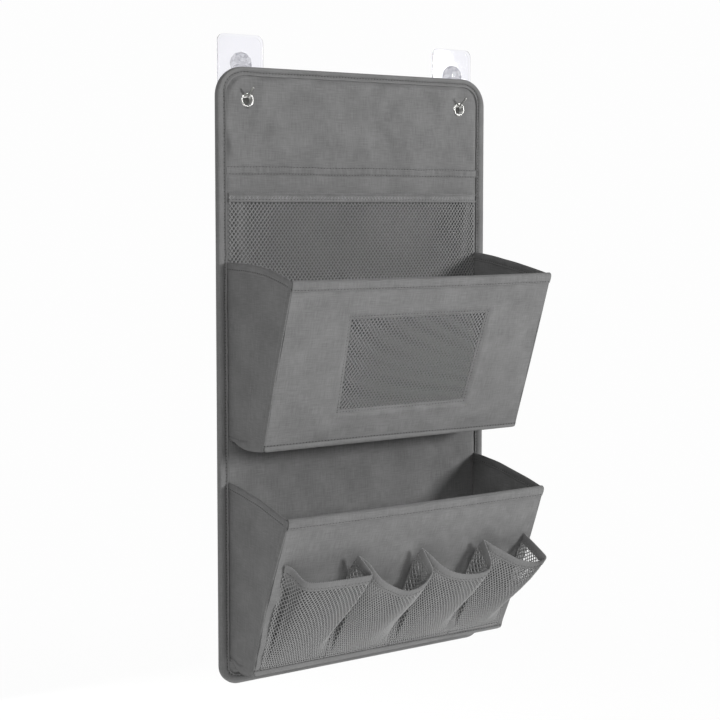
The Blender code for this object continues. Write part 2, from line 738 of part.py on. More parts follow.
for hook_side, hook_x in HOOKS:
    make_hook(hook_side, hook_x)
make_panel()
make_flat_net_pocket()
UPPER_FRONT = make_box_pocket(
    "upper", UPPER_FLOOR_HEIGHT, UPPER_FLOOR_DEPTH, UPPER_FRONT_LENGTH, UPPER_FRONT_LEAN_DEG, UPPER_GUSSET_TOP,
    UPPER_GUSSET_DROP_POWER, SEAM_GAP + NET_CLOTH + SEAM_GAP,
)
make_front("upper", UPPER_FRONT, UPPER_FRONT_LENGTH, True)
make_window_net(UPPER_FRONT)
LOWER_FRONT = make_box_pocket(
    "lower", LOWER_FLOOR_HEIGHT, LOWER_FLOOR_DEPTH, LOWER_FRONT_LENGTH, LOWER_FRONT_LEAN_DEG, LOWER_GUSSET_TOP,
    LOWER_GUSSET_DROP_POWER, SEAM_GAP,
)
make_front("lower", LOWER_FRONT, LOWER_FRONT_LENGTH, False)
make_small_pockets(LOWER_FRONT)
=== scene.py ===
"""A hanging wall organizer: boarded cloth, knitted net pockets, folded tape, eyelets and clear hooks.

Metres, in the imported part's frame: the wall is Y = 0 and the front faces -Y. Three ways of giving a place
are used: on the panel by x, distance out from its face and height above its lower edge; on a pocket's front
by x, distance out from its face and distance up from its foot; and on a gusset by shares of its depth and
height.
"""

import math

import bpy
import numpy as np
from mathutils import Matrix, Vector


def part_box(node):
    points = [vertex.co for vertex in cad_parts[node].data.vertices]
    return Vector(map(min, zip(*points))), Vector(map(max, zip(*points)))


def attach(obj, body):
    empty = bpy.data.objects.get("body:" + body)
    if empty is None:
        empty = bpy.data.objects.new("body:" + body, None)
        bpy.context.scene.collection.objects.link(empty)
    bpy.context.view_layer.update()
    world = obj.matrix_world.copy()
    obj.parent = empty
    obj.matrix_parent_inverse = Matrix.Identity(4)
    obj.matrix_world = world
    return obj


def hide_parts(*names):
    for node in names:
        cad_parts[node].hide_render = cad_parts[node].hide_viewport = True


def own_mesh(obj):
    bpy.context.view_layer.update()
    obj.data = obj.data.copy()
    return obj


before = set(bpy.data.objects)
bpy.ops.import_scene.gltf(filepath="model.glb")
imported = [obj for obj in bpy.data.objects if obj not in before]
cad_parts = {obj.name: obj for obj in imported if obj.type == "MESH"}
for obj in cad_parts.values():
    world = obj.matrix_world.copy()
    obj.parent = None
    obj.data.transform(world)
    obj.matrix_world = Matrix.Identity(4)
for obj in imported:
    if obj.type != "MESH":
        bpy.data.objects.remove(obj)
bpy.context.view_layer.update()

MM = 0.001

# Panel, in the part's own sizes
FACE_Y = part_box("main_face")[0][1]
FOOT_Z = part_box("edge_binding")[0][2]
PANEL_WIDTH = 330 * MM
PANEL_HEIGHT = 625 * MM
TOP_CORNER = 30 * MM
BOTTOM_CORNER = 20 * MM
PANEL_DEPTH = 4.2 * MM
CLOTH = 0.8 * MM
FACE_INSET = 5.0 * MM
BACK_OUT = -3.4 * MM
HEADER_SEAM = 522 * MM
SEAM_STRIP = 9 * MM
EYELET_X = 131 * MM
EYELET_Z = 592 * MM
EYELET_HOLE = 6.05 * MM

# Flat net pocket
NET_TOP = 499.5 * MM
NET_FOOT = 249.2 * MM
NET_HALF_WIDTH = 152.5 * MM
NET_SLACK = 7 * MM
NET_TAPE = 9.5 * MM

# Box pockets: floor height and depth, front length, lean, the bulge of the side edges, the rounding of the
# lower corners, how the gusset's lower edge rises at the panel and sags in the middle, the lobe at the foot
# of its seam, and how far out it is when folded
HALF_WIDTH = 152.9 * MM
GUSSET_X = 154 * MM
FRONT_DEPTH = 3.8 * MM
HEM = 9 * MM
WELT = 5.5 * MM
POCKETS = {
    "upper": {"height": 249.2 * MM, "depth": 72.5 * MM, "length": 176.3 * MM, "lean": math.radians(19.4),
              "bulge": 0.6 * MM, "corner": 3.5 * MM, "rise": 4.0 * MM, "sag": 3.0 * MM, "lobe": 0.3 * MM,
              "folded": 13.4 * MM},
    "lower": {"height": 22.5 * MM, "depth": 49.4 * MM, "length": 183.0 * MM, "lean": math.radians(23.5),
              "bulge": 3.0 * MM, "corner": 5.0 * MM, "rise": 4.0 * MM, "sag": 4.5 * MM, "lobe": 1.3 * MM,
              "folded": 11.2 * MM},
}
# Gussets: the height of the top edge at the panel, and the power with which it drops towards the front
GUSSETS = {
    ("upper", "left"): (430 * MM, 2.9),
    ("upper", "right"): (435 * MM, 1.45),
    ("lower", "left"): (208 * MM, 1.35),
    ("lower", "right"): (210 * MM, 1.75),
}
GUSSET_BOW = 1.2 * MM
GUSSET_SEAM = 6.2 * MM

# Net window: half-widths and heights up the front
WINDOW_LOW, WINDOW_HIGH = 38.5 * MM, 136.5 * MM
WINDOW_HALF_LOW, WINDOW_HALF_HIGH = 75 * MM, 81 * MM

# Net and thread: the net's heavy strands lean one way and its light ones the other. The real meshes are about
# 2 mm wide, too fine for the picture, so they are drawn more than half as wide again
NET_PITCH = 3.3 * MM
NET_LEAN = 37.0
HEAVY_STRAND = 0.62 * MM
LIGHT_STRAND = 0.26 * MM
STITCH_PITCH = 3.6 * MM
STITCH_LENGTH = 2.3 * MM
STITCH_RADIUS = 0.26 * MM
# Between the stitches sit small dark beads: painted shade for the needle holes
SHADE_BEAD_RADIUS = 0.44 * MM
THREAD_RISE = 0.10 * MM


def linear(code, alpha=1.0):
    """An sRGB hex colour as the linear one that the shaders take."""
    channels = [int(code[place:place + 2], 16) / 255 for place in (1, 3, 5)]
    return (*[c / 12.92 if c <= 0.04045 else ((c + 0.055) / 1.055) ** 2.4 for c in channels], alpha)


def add(tree, kind, settings=None, links=None):
    """Adds a node, with its settings, and its inputs as values or as links from other nodes' sockets."""
    node = tree.nodes.new(kind)
    for key, value in (settings or {}).items():
        setattr(node, key, value)
    for key, value in (links or {}).items():
        if isinstance(value, bpy.types.NodeSocket):
            tree.links.new(value, node.inputs[key])
        else:
            node.inputs[key].default_value = value
    return node


# Materials

def new_material(name):
    """A material with only its output, ready for its own shader."""
    material = bpy.data.materials.new(name)
    material.use_nodes = True
    tree = material.node_tree
    tree.nodes.clear()
    return material, tree, add(tree, "ShaderNodeOutputMaterial")


def surfaced(parts, shader):
    """Ends a material with its shader."""
    material, tree, output = parts
    tree.links.new(shader.outputs[0], output.inputs["Surface"])
    return material


def finished(parts, **sockets):
    """Ends a material with one Principled shader, whose sockets are named with underscores for spaces."""
    links = {name.replace("_", " "): value for name, value in sockets.items()}
    return surfaced(parts, add(parts[1], "ShaderNodeBsdfPrincipled", None, links))


def maths(tree, kind, *values):
    """The result of a sum on numbers or sockets."""
    return add(tree, "ShaderNodeMath", {"operation": kind}, dict(enumerate(values))).outputs[0]


def scaled(tree, places, across, up, turn=0.0):
    """Flat places stretched each way, and turned by degrees."""
    return add(tree, "ShaderNodeMapping", None, {
        "Vector": places, "Scale": (across, up, 1.0), "Rotation": (0.0, 0.0, math.radians(turn))}).outputs[0]


def noise(tree, places, detail, scale=1.0, distortion=0.0):
    return add(tree, "ShaderNodeTexNoise", None, {
        "Vector": places, "Scale": scale, "Detail": detail, "Distortion": distortion}).outputs["Fac"]


def bumped(tree, height, strength, depth):
    return add(tree, "ShaderNodeBump", None, {
        "Height": height, "Strength": strength, "Distance": depth}).outputs[0]


def colours(tree, share, *stops):
    """A colour that runs through stops, each a place and a colour, as a share goes from 0 to 1."""
    node = add(tree, "ShaderNodeValToRGB", None, {"Fac": share})
    elements = node.color_ramp.elements
    for place, _ in stops[1:-1]:
        elements.new(place)
    for element, (place, colour) in zip(elements, stops):
        element.position, element.color = place, colour
    return node.outputs["Color"]


def woven_cloth(name, shade, dark, light, thread_mm, slub_mm, bump, roughness):
    """Plain-woven polyester with a linen look: slubbed threads both ways, matt, with a dusty sheen.

    The real threads lie about 0.4 mm apart, too fine for the picture, so they are drawn coarser.
    """
    parts = new_material(name)
    tree = parts[1]
    uv = add(tree, "ShaderNodeTexCoord").outputs["UV"]
    thick, long = (1000 / size for size in slub_mm)
    warp = noise(tree, scaled(tree, uv, thick, long), 3.0)
    weft = noise(tree, scaled(tree, uv, long, thick), 3.0)
    slubs = maths(tree, "ADD", warp, weft)
    clouds = noise(tree, scaled(tree, uv, 28.0, 28.0), 4.0)
    mottled = add(tree, "ShaderNodeMapRange", None, {
        "Value": maths(tree, "MULTIPLY_ADD", clouds, 0.9, slubs), "From Min": 1.0, "From Max": 1.9})
    colour = colours(tree, mottled.outputs[0],
                     (0.0, linear(dark)), (0.5, linear(shade)), (1.0, linear(light)))
    threads = scaled(tree, uv, 1000 / thread_mm, 1000 / thread_mm)
    across, along = (
        add(tree, "ShaderNodeTexWave", {"wave_type": "BANDS", "bands_direction": way},
            {"Vector": threads, "Scale": 0.314, "Distortion": 0.6, "Detail": 1.0}).outputs["Fac"]
        for way in ("X", "Y"))
    height = maths(tree, "MULTIPLY_ADD", slubs, 1.4, maths(tree, "MULTIPLY", across, along))
    return finished(parts, Base_Color=colour, Roughness=roughness,
                    Normal=bumped(tree, height, bump, 0.12 * MM),
                    Sheen_Weight=0.12, Sheen_Roughness=0.5, Specular_IOR_Level=0.25, IOR=1.5)


def bonded_lining(name, shade, dark):
    """Spunbonded polypropylene: matted fibres pressed with a grid of dimples, dull and a little waxy."""
    parts = new_material(name)
    tree = parts[1]
    uv = add(tree, "ShaderNodeTexCoord").outputs["UV"]
    fibres = noise(tree, scaled(tree, uv, 420.0, 420.0), 5.0, distortion=1.4)
    dimples = add(tree, "ShaderNodeTexVoronoi", {"feature": "F1"}, {
        "Vector": scaled(tree, uv, 480.0, 480.0, 45.0), "Scale": 1.0, "Randomness": 0.0})
    height = maths(tree, "MULTIPLY_ADD", fibres, 0.4, dimples.outputs["Distance"])
    return finished(parts, Base_Color=colours(tree, fibres, (0.3, linear(dark)), (0.7, linear(shade))),
                    Roughness=0.72, Normal=bumped(tree, height, 0.35, 0.15 * MM),
                    Specular_IOR_Level=0.35, IOR=1.49)


def plain_finish(name, shade, roughness, metallic=0.0, grain_mm=1.0, grain=0.0, bump=0.0, **sockets):
    """One material with a fine noise in its colour and surface: thread, steel, board or plastic."""
    parts = new_material(name)
    tree = parts[1]
    speckle = noise(tree, add(tree, "ShaderNodeTexCoord").outputs["Object"], 3.0, 1000 / grain_mm)
    low, high = (
        (*[min(channel * level, 1.0) for channel in linear(shade)[:3]], 1.0)
        for level in (1 - grain, 1 + grain))
    return finished(parts, Base_Color=colours(tree, speckle, (0.3, low), (0.7, high)), Roughness=roughness,
                    Metallic=metallic, Normal=bumped(tree, speckle, bump, 0.1 * MM), **sockets)


def sewing_thread(name, shade, hole_shade):
    """Spun thread sunk into the cloth, nearly its colour, with a dark bead after each stitch that is painted
    shade for the needle hole.
    """
    parts = new_material(name)
    tree = parts[1]
    shade_mask = add(tree, "ShaderNodeAttribute", {"attribute_name": "painted_needle_shade"})
    twist = noise(tree, add(tree, "ShaderNodeTexCoord").outputs["Object"], 2.0, 900.0)
    colour = add(tree, "ShaderNodeMix", {"data_type": "RGBA"}, {
        0: shade_mask.outputs["Fac"], 6: linear(shade), 7: linear(hole_shade)})
    return finished(parts, Base_Color=colour.outputs[2], Roughness=0.7,
                    Normal=bumped(tree, twist, 0.3, 0.1 * MM))


def cut_plastic(name, light, dark):
    """Clear plastic moulded in facets, each tinted at random from white to grey: painted shade and highlight
    for how each facet catches the light.
    """
    parts = new_material(name)
    tree = parts[1]
    facet = add(tree, "ShaderNodeAttribute", {"attribute_name": "painted_facet_shade"})
    colour = colours(tree, facet.outputs["Fac"], (0.0, linear(light)), (1.0, linear(dark)))
    return finished(parts, Base_Color=colour, Roughness=0.05, Transmission_Weight=1.0, IOR=1.12)


CANVAS = woven_cloth("linen-look polyester canvas", "#7e7e7e", "#6f6f6f", "#8c8c8c", 1.1, (0.9, 14.0),
                     bump=0.30, roughness=0.86)
TAPE = woven_cloth("woven polyester binding tape", "#808080", "#747474", "#8c8c8c", 0.9, (0.7, 9.0),
                   bump=0.30, roughness=0.82)
LINING = bonded_lining("spunbonded lining", "#707072", "#646466")
BACKING = bonded_lining("spunbonded backing", "#58585b", "#4b4b4e")
# Tricot net of dull polyester yarn: a little sheen along each strand
NET = plain_finish("knitted polyester net", "#969696", 0.62, grain=0.10, grain_mm=2.0)
# Thread, with near-black painted shade on the beads that stand for needle holes
THREAD = sewing_thread("spun polyester thread with painted hole shade", "#7c7c7c", "#303030")
# Tumbled nickel plate over steel: bright, with a soft haze that spreads each highlight
NICKEL = plain_finish("nickel-plated steel", "#d2d2cf", 0.34, 1.0, grain=0.02, grain_mm=3.0)
# Pressed greyboard: matt, fibrous and flecked
BOARD = plain_finish("pressed greyboard", "#8f8a82", 0.92, grain=0.16, grain_mm=1.5, bump=0.3)
# Injection-moulded clear polycarbonate: smooth, refracting, faintly cool
CLEAR = plain_finish("clear polycarbonate", "#f8f8fc", 0.03, Transmission_Weight=1.0, IOR=1.24)
# The same polycarbonate in the boss, cut in facets whose tints are painted shade and highlight, one facet at
# a time
FACETED = cut_plastic("faceted clear polycarbonate with painted facet shade", "#ffffff", "#b4b4b8")
# Clear acrylic foam tape behind the plate: soft, and wet out so that it almost vanishes
FOAM = plain_finish("clear acrylic tape", "#fdfdff", 0.12, grain=0.01, grain_mm=1.5,
                    Transmission_Weight=1.0, IOR=1.20)


# Meshes

def waves(x, z, size, seed, count=16):
    """A smooth random relief from -1 to 1 over x and z, with bumps of about that size, from seeded waves."""
    dice = np.random.default_rng(seed)
    total = 0.0
    for _ in range(count):
        angle, phase = dice.uniform(0, math.pi), dice.uniform(0, 2 * math.pi)
        length = size * dice.uniform(0.7, 1.8)
        total = total + np.sin((x * math.cos(angle) + z * math.sin(angle)) * 2 * math.pi / length + phase)
    return total / math.sqrt(count) / 1.5


def ease(value, low, high):
    """0 below low, 1 above high, and a smooth step between them."""
    share = np.clip((value - low) / (high - low), 0.0, 1.0)
    return share * share * (3 - 2 * share)


def bell(value, width):
    """A smooth bump: 1 where the value is 0, and nearly nothing beyond twice the width."""
    return np.exp(-(value / width) ** 2)


def new_object(name, points, faces, uvs=None):
    """An object from points and faces, smooth but for its sharp edges; uvs are each point's, in metres."""
    mesh = bpy.data.meshes.new(name)
    mesh.from_pydata([tuple(p) for p in points], [], faces)
    if uvs is not None:
        layer = mesh.uv_layers.new(name="UVMap")
        index = np.empty(len(mesh.loops), dtype=np.int64)
        mesh.loops.foreach_get("vertex_index", index)
        layer.data.foreach_set("uv", np.asarray(uvs, dtype=np.float32)[index].ravel())
    mesh.update()
    mesh.shade_smooth()
    mesh.set_sharp_from_angle(angle=math.radians(55.0))
    piece = bpy.data.objects.new(name, mesh)
    bpy.context.scene.collection.objects.link(piece)
    return piece


def signed_volume(points, faces):
    """Six times a closed mesh's volume, below zero where its faces face in."""
    corners = np.asarray(points, float)
    total = 0.0
    for face in faces:
        first = corners[face[0]]
        for second, third in zip(face[1:], face[2:]):
            total += float(first @ np.cross(corners[second], corners[third]))
    return total


def facing_out(points, faces):
    """The faces of a closed mesh, turned over if they face in."""
    return [tuple(reversed(face)) for face in faces] if signed_volume(points, faces) < 0 else faces


def run_along(line):
    """How far along a line each of its points is."""
    return np.concatenate([[0.0], np.cumsum(np.linalg.norm(np.diff(line, axis=0), axis=1))])


def normals(surface):
    """Unit directions straight out of a grid of points."""
    out = np.cross(np.gradient(surface, axis=1), np.gradient(surface, axis=0))
    return out / np.linalg.norm(out, axis=-1)[..., None]


def slab(name, front, back, uv, keep=None):
    """A closed sheet from two grids of points, front and back; keep says which of its cells are there."""
    rows, columns = front.shape[:2]
    keep = np.ones((rows - 1, columns - 1), bool) if keep is None else keep
    number = np.arange(rows * columns).reshape(rows, columns)
    cells = [
        (number[r, c], number[r, c + 1], number[r + 1, c + 1], number[r + 1, c])
        for r in range(rows - 1) for c in range(columns - 1) if keep[r, c]
    ]
    sides = {}
    for cell in cells:
        for start, end in zip(cell, cell[1:] + cell[:1]):
            if (end, start) in sides:
                del sides[(end, start)]
            else:
                sides[(start, end)] = True
    under = rows * columns
    faces = cells + [tuple(corner + under for corner in reversed(cell)) for cell in cells]
    faces += [(end, start, start + under, end + under) for start, end in sides]
    used = np.unique(np.concatenate([np.ravel(face) for face in (cells, np.array(cells) + under)]))
    renumber = np.full(2 * under, -1)
    renumber[used] = np.arange(len(used))
    points = np.concatenate([front.reshape(-1, 3), back.reshape(-1, 3)])
    uvs = np.concatenate([uv.reshape(-1, 2), uv.reshape(-1, 2)])
    faces = [tuple(int(renumber[corner]) for corner in face) for face in faces]
    points, uvs = points[used], uvs[used]
    return new_object(name, points, facing_out(points, faces), uvs)


def swept(name, rings, closed=False):
    """A closed section carried along a path: rings is an array of path stations by section points."""
    stations, count = rings.shape[:2]
    number = np.arange(stations * count).reshape(stations, count)
    faces = []
    for station in range(stations if closed else stations - 1):
        after = (station + 1) % stations
        for point in range(count):
            beside = (point + 1) % count
            faces.append((number[station, point], number[station, beside],
                          number[after, beside], number[after, point]))
    if not closed:
        faces += [tuple(number[0][::-1]), tuple(number[-1])]
    points = rings.reshape(-1, 3)
    faces = [tuple(int(corner) for corner in face) for face in faces]
    run, girth = run_along(rings[:, 0]), run_along(rings[0])
    uv = np.stack(np.broadcast_arrays(run[:, None], girth[None, :]), -1).reshape(-1, 2)
    return new_object(name, points, facing_out(points, faces), uv)


def turned(name, profile, centre, steps=56):
    """A round piece about an axis out of the wall: profile is a closed loop of (radius, distance out)."""
    x, y, z = centre
    turns = np.linspace(0, 2 * math.pi, steps, endpoint=False)
    rings = np.array([
        [(x + radius * math.cos(t), y - out, z + radius * math.sin(t)) for radius, out in profile]
        for t in turns
    ])
    return swept(name, rings, closed=True)


def tube(name, path, radius, sides=14):
    """A round wire along a path, with domed ends."""
    path = np.array(path, float)
    along = np.gradient(path, axis=0)
    along /= np.linalg.norm(along, axis=1)[:, None]
    side = np.array([1.0, 0.0, 0.0])
    rings = []
    dome = [(-0.85, 0.35), (-0.5, 0.8)]
    stations = [(path[0] + along[0] * radius * ahead, along[0], share) for ahead, share in dome]
    stations += [(point, way, 1.0) for point, way in zip(path, along)]
    stations += [(path[-1] - along[-1] * radius * ahead, along[-1], share)
                 for ahead, share in reversed(dome)]
    for point, way, share in stations:
        up = np.cross(side, way)
        up /= np.linalg.norm(up)
        turns = np.linspace(0, 2 * math.pi, sides, endpoint=False)
        rings.append([point + radius * share * (math.cos(t) * side + math.sin(t) * up) for t in turns])
    return swept(name, np.array(rings))


def plain_mesh(piece):
    """Turns what the piece's modifiers make into its own mesh."""
    graph = bpy.context.evaluated_depsgraph_get()
    mesh = bpy.data.meshes.new_from_object(piece.evaluated_get(graph))
    piece.modifiers.clear()
    piece.data = mesh
    return piece


def path_tree(name, inputs):
    """An empty tree of Geometry Nodes that takes lines and named sizes, and the material it ends with."""
    tree = bpy.data.node_groups.new(name, "GeometryNodeTree")
    tree.interface.new_socket("Lines", in_out="INPUT", socket_type="NodeSocketGeometry")
    for label, value in inputs.items():
        socket = tree.interface.new_socket(label, in_out="INPUT", socket_type="NodeSocketFloat")
        socket.default_value = value
    tree.interface.new_socket("Finish", in_out="INPUT", socket_type="NodeSocketMaterial")
    tree.interface.new_socket("Made", in_out="OUTPUT", socket_type="NodeSocketGeometry")
    return tree, add(tree, "NodeGroupInput"), add(tree, "NodeGroupOutput")


def end_tree(tree, source, made, output):
    """Ends a tree of Geometry Nodes: what is made becomes one smooth mesh of its material."""
    realized = add(tree, "GeometryNodeRealizeInstances", None, {"Geometry": made})
    smooth = add(tree, "GeometryNodeSetShadeSmooth", None, {"Geometry": realized.outputs[0]})
    finished = add(tree, "GeometryNodeSetMaterial", None,
                   {"Geometry": smooth.outputs[0], "Material": source.outputs["Finish"]})
    tree.links.new(finished.outputs[0], output.inputs[0])


def net_tree():
    """Each line becomes a strand of yarn with a four-sided section, as thick as the line's own share says."""
    tree, source, output = path_tree("net strands", {"Strand radius": HEAVY_STRAND})
    lines = add(tree, "GeometryNodeMeshToCurve", None, {"Mesh": source.outputs["Lines"]})
    share = add(tree, "GeometryNodeInputNamedAttribute", {"data_type": "FLOAT"}, {"Name": "strand_share"})
    sized = add(tree, "GeometryNodeSetCurveRadius", None,
                {"Curve": lines.outputs[0], "Radius": share.outputs[0]})
    section = add(tree, "GeometryNodeCurvePrimitiveCircle", None,
                  {"Resolution": 4, "Radius": source.outputs["Strand radius"]})
    strands = add(tree, "GeometryNodeCurveToMesh", None,
                  {"Curve": sized.outputs[0], "Profile Curve": section.outputs[0], "Fill Caps": True})
    end_tree(tree, source, strands.outputs[0], output)
    return tree


def stitch_tree():
    """Stitches stand end to end along each line, with a small dark bead between each two, painted shade for a
    needle hole.
    """
    tree, source, output = path_tree("row of stitches", {
        "Pitch": STITCH_PITCH, "Thread radius": STITCH_RADIUS, "Stitch length": STITCH_LENGTH,
        "Shade bead radius": SHADE_BEAD_RADIUS})
    lines = add(tree, "GeometryNodeMeshToCurve", None, {"Mesh": source.outputs["Lines"]})
    spots = add(tree, "GeometryNodeCurveToPoints", {"mode": "LENGTH"},
                {"Curve": lines.outputs[0], "Length": maths(tree, "MULTIPLY", source.outputs["Pitch"], 0.5)})
    odd = maths(tree, "MODULO", add(tree, "GeometryNodeInputIndex").outputs[0], 2.0)
    even = maths(tree, "SUBTRACT", 1.0, odd)
    half_length = maths(tree, "MULTIPLY", source.outputs["Stitch length"], 0.5)
    laid = add(tree, "GeometryNodeJoinGeometry")
    # Odd spots get a stitch; even spots get a small dark bead whose colour is painted shade for a needle hole
    for chosen, wide, long, hole_shade in (
        (odd, source.outputs["Thread radius"], half_length, 0.0),
        (even, source.outputs["Shade bead radius"], source.outputs["Shade bead radius"], 1.0),
    ):
        bead = add(tree, "GeometryNodeMeshUVSphere", None, {"Segments": 6, "Rings": 5, "Radius": 1.0})
        marked = add(tree, "GeometryNodeStoreNamedAttribute", {"data_type": "FLOAT", "domain": "POINT"},
                     {"Geometry": bead.outputs["Mesh"], "Name": "painted_needle_shade", "Value": hole_shade})
        size = add(tree, "ShaderNodeCombineXYZ", None, {"X": wide, "Y": wide, "Z": long})
        row = add(tree, "GeometryNodeInstanceOnPoints", None, {
            "Points": spots.outputs["Points"], "Selection": chosen, "Instance": marked.outputs[0],
            "Rotation": spots.outputs["Rotation"], "Scale": size.outputs[0]})
        tree.links.new(row.outputs[0], laid.inputs[0])
    end_tree(tree, source, laid.outputs[0], output)
    return tree


NET_TREE = net_tree()
STITCH_TREE = stitch_tree()


def along_lines(name, lines, tree, finish, shares=None):
    """Runs a tree along lines, each with its share of the tree's thickness, and gives the plain mesh."""
    points, edges, weights = [], [], []
    for line, share in zip(lines, shares or [1.0] * len(lines)):
        start = len(points)
        points += [tuple(point) for point in line]
        weights += [share] * len(line)
        edges += [(start + step, start + step + 1) for step in range(len(line) - 1)]
    mesh = bpy.data.meshes.new(name)
    mesh.from_pydata(points, edges, [])
    mesh.attributes.new("strand_share", "FLOAT", "POINT").data.foreach_set("value", weights)
    piece = bpy.data.objects.new(name, mesh)
    bpy.context.scene.collection.objects.link(piece)
    modifier = piece.modifiers.new("made along lines", "NODES")
    modifier.node_group = tree
    for item in tree.interface.items_tree:
        if item.item_type == "SOCKET" and item.in_out == "INPUT" and item.name != "Lines":
            modifier[item.identifier] = finish if item.name == "Finish" else item.default_value
    return plain_mesh(piece)


def dress(piece, body, finish=None, stands_for=()):
    """Gives a piece its finish, the body that it moves with and the solids that it stands for."""
    if finish is not None:
        piece.data.materials.clear()
        piece.data.materials.append(finish)
    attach(piece, body)
    if stands_for:
        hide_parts(*stands_for)
    return piece


def stitch(name, rows, body):
    """Sews rows of stitches, which ride with a body."""
    return dress(along_lines(name, rows, STITCH_TREE, THREAD), body)


# Places

def on_panel(x, out, height):
    """A place on the panel: out from its face, and above its lower edge."""
    x, out, height = np.broadcast_arrays(x, out, height)
    return np.stack([x, FACE_Y - out, FOOT_Z + height], -1).astype(float)


def on_front(pocket, x, out, up):
    """A place on a pocket's front: out from its face, and up from its foot along the slope."""
    it = POCKETS[pocket]
    x, out, up = np.broadcast_arrays(x, out, up)
    depth = it["depth"] + up * math.sin(it["lean"]) + out * math.cos(it["lean"])
    height = it["height"] + up * math.cos(it["lean"]) - out * math.sin(it["lean"])
    return on_panel(x, depth, height)


def flat_area(x, up, keep=None):
    """The area of a cut laid out flat, from its grid of places and the cells that are cloth."""
    wide = (x[:-1, 1:] - x[:-1, :-1] + x[1:, 1:] - x[1:, :-1]) / 2
    cells = wide * (up[1:, 1:] - up[:-1, 1:])
    return cells.sum() if keep is None else cells[keep].sum()


def half_width_at(height, inset):
    """Half the panel's width at a height, drawn in by an inset, with the panel's rounded corners."""
    half = PANEL_WIDTH / 2 - inset
    low, high = inset, PANEL_HEIGHT - inset
    cut = np.zeros_like(height)
    for radius, rise in ((BOTTOM_CORNER - inset, height - low), (TOP_CORNER - inset, high - height)):
        short = np.clip(radius - rise, 0.0, radius)
        cut = np.maximum(cut, radius - np.sqrt(np.maximum(radius ** 2 - short ** 2, 0.0)))
    return half - cut


def grid(column, row):
    """A column of values repeated along a row."""
    return column[:, None] * np.ones_like(row)[None, :]


def rows_between(low, high, step, crowd_low=0.0, crowd_high=0.0):
    """Heights from low to high, closer together within crowd_low and crowd_high of the ends."""
    marks = [low]
    while marks[-1] < high - step * 0.5:
        from_low = (marks[-1] - low) / crowd_low if crowd_low else 1.0
        from_high = (high - marks[-1]) / crowd_high if crowd_high else 1.0
        near = min(max(min(from_low, from_high), 0.0), 1.0)
        marks.append(marks[-1] + step * (0.25 + 0.75 * near))
    marks[-1] = high
    return np.array(marks)


def panel_outline(step=1.6 * MM):
    """Points and inward directions round the panel's edge, evenly spaced, clockwise from the lower left."""
    half, pieces = PANEL_WIDTH / 2, []
    for x_sign, z_low, radius, start in ((-1, True, BOTTOM_CORNER, 270), (-1, False, TOP_CORNER, 180),
                                         (1, False, TOP_CORNER, 90), (1, True, BOTTOM_CORNER, 0)):
        x, z = x_sign * (half - radius), radius if z_low else PANEL_HEIGHT - radius
        for turn in np.linspace(start, start - 90, 17):
            right, up = math.cos(math.radians(turn)), math.sin(math.radians(turn))
            pieces.append((x + radius * right, z + radius * up, -right, -up))
    corners = np.array(pieces + pieces[:1])
    run = run_along(corners[:, :2])
    places = np.linspace(0.0, run[-1], int(run[-1] / step), endpoint=False)
    even = np.stack([np.interp(places, run, corners[:, column]) for column in range(4)], -1)
    even[:, 2:] /= np.linalg.norm(even[:, 2:], axis=1)[:, None]
    return even, places


# Panel

# The header's longest creases: both ends across and up the panel, half-width and height, all in mm
HEADER_CREASES = (
    (-105, 616, -130, 548, 6, 1.5), (-72, 612, -84, 575, 5, -0.9), (-48, 617, -30, 596, 5, 1.1),
    (-42, 580, -36, 536, 5, 1.0), (10, 612, 22, 560, 7, -1.1), (58, 606, 36, 566, 6, 1.2),
    (92, 590, 104, 545, 6, 0.9), (128, 560, 96, 533, 5, 0.8),
)


def long_creases(x, height):
    """Soft ridges and hollows along HEADER_CREASES, which die out at their ends."""
    total = 0.0
    for x_from, z_from, x_to, z_to, width, size in HEADER_CREASES:
        along_x, along_z = (x_to - x_from) * MM, (z_to - z_from) * MM
        dx, dz = x - x_from * MM, height - z_from * MM
        share = (dx * along_x + dz * along_z) / (along_x ** 2 + along_z ** 2)
        aside = (dx * along_z - dz * along_x) / math.hypot(along_x, along_z)
        fade = ease(share, -0.15, 0.25) * (1 - ease(share, 0.7, 1.15))
        total = total + size * fade * bell(aside, width * MM)
    return total


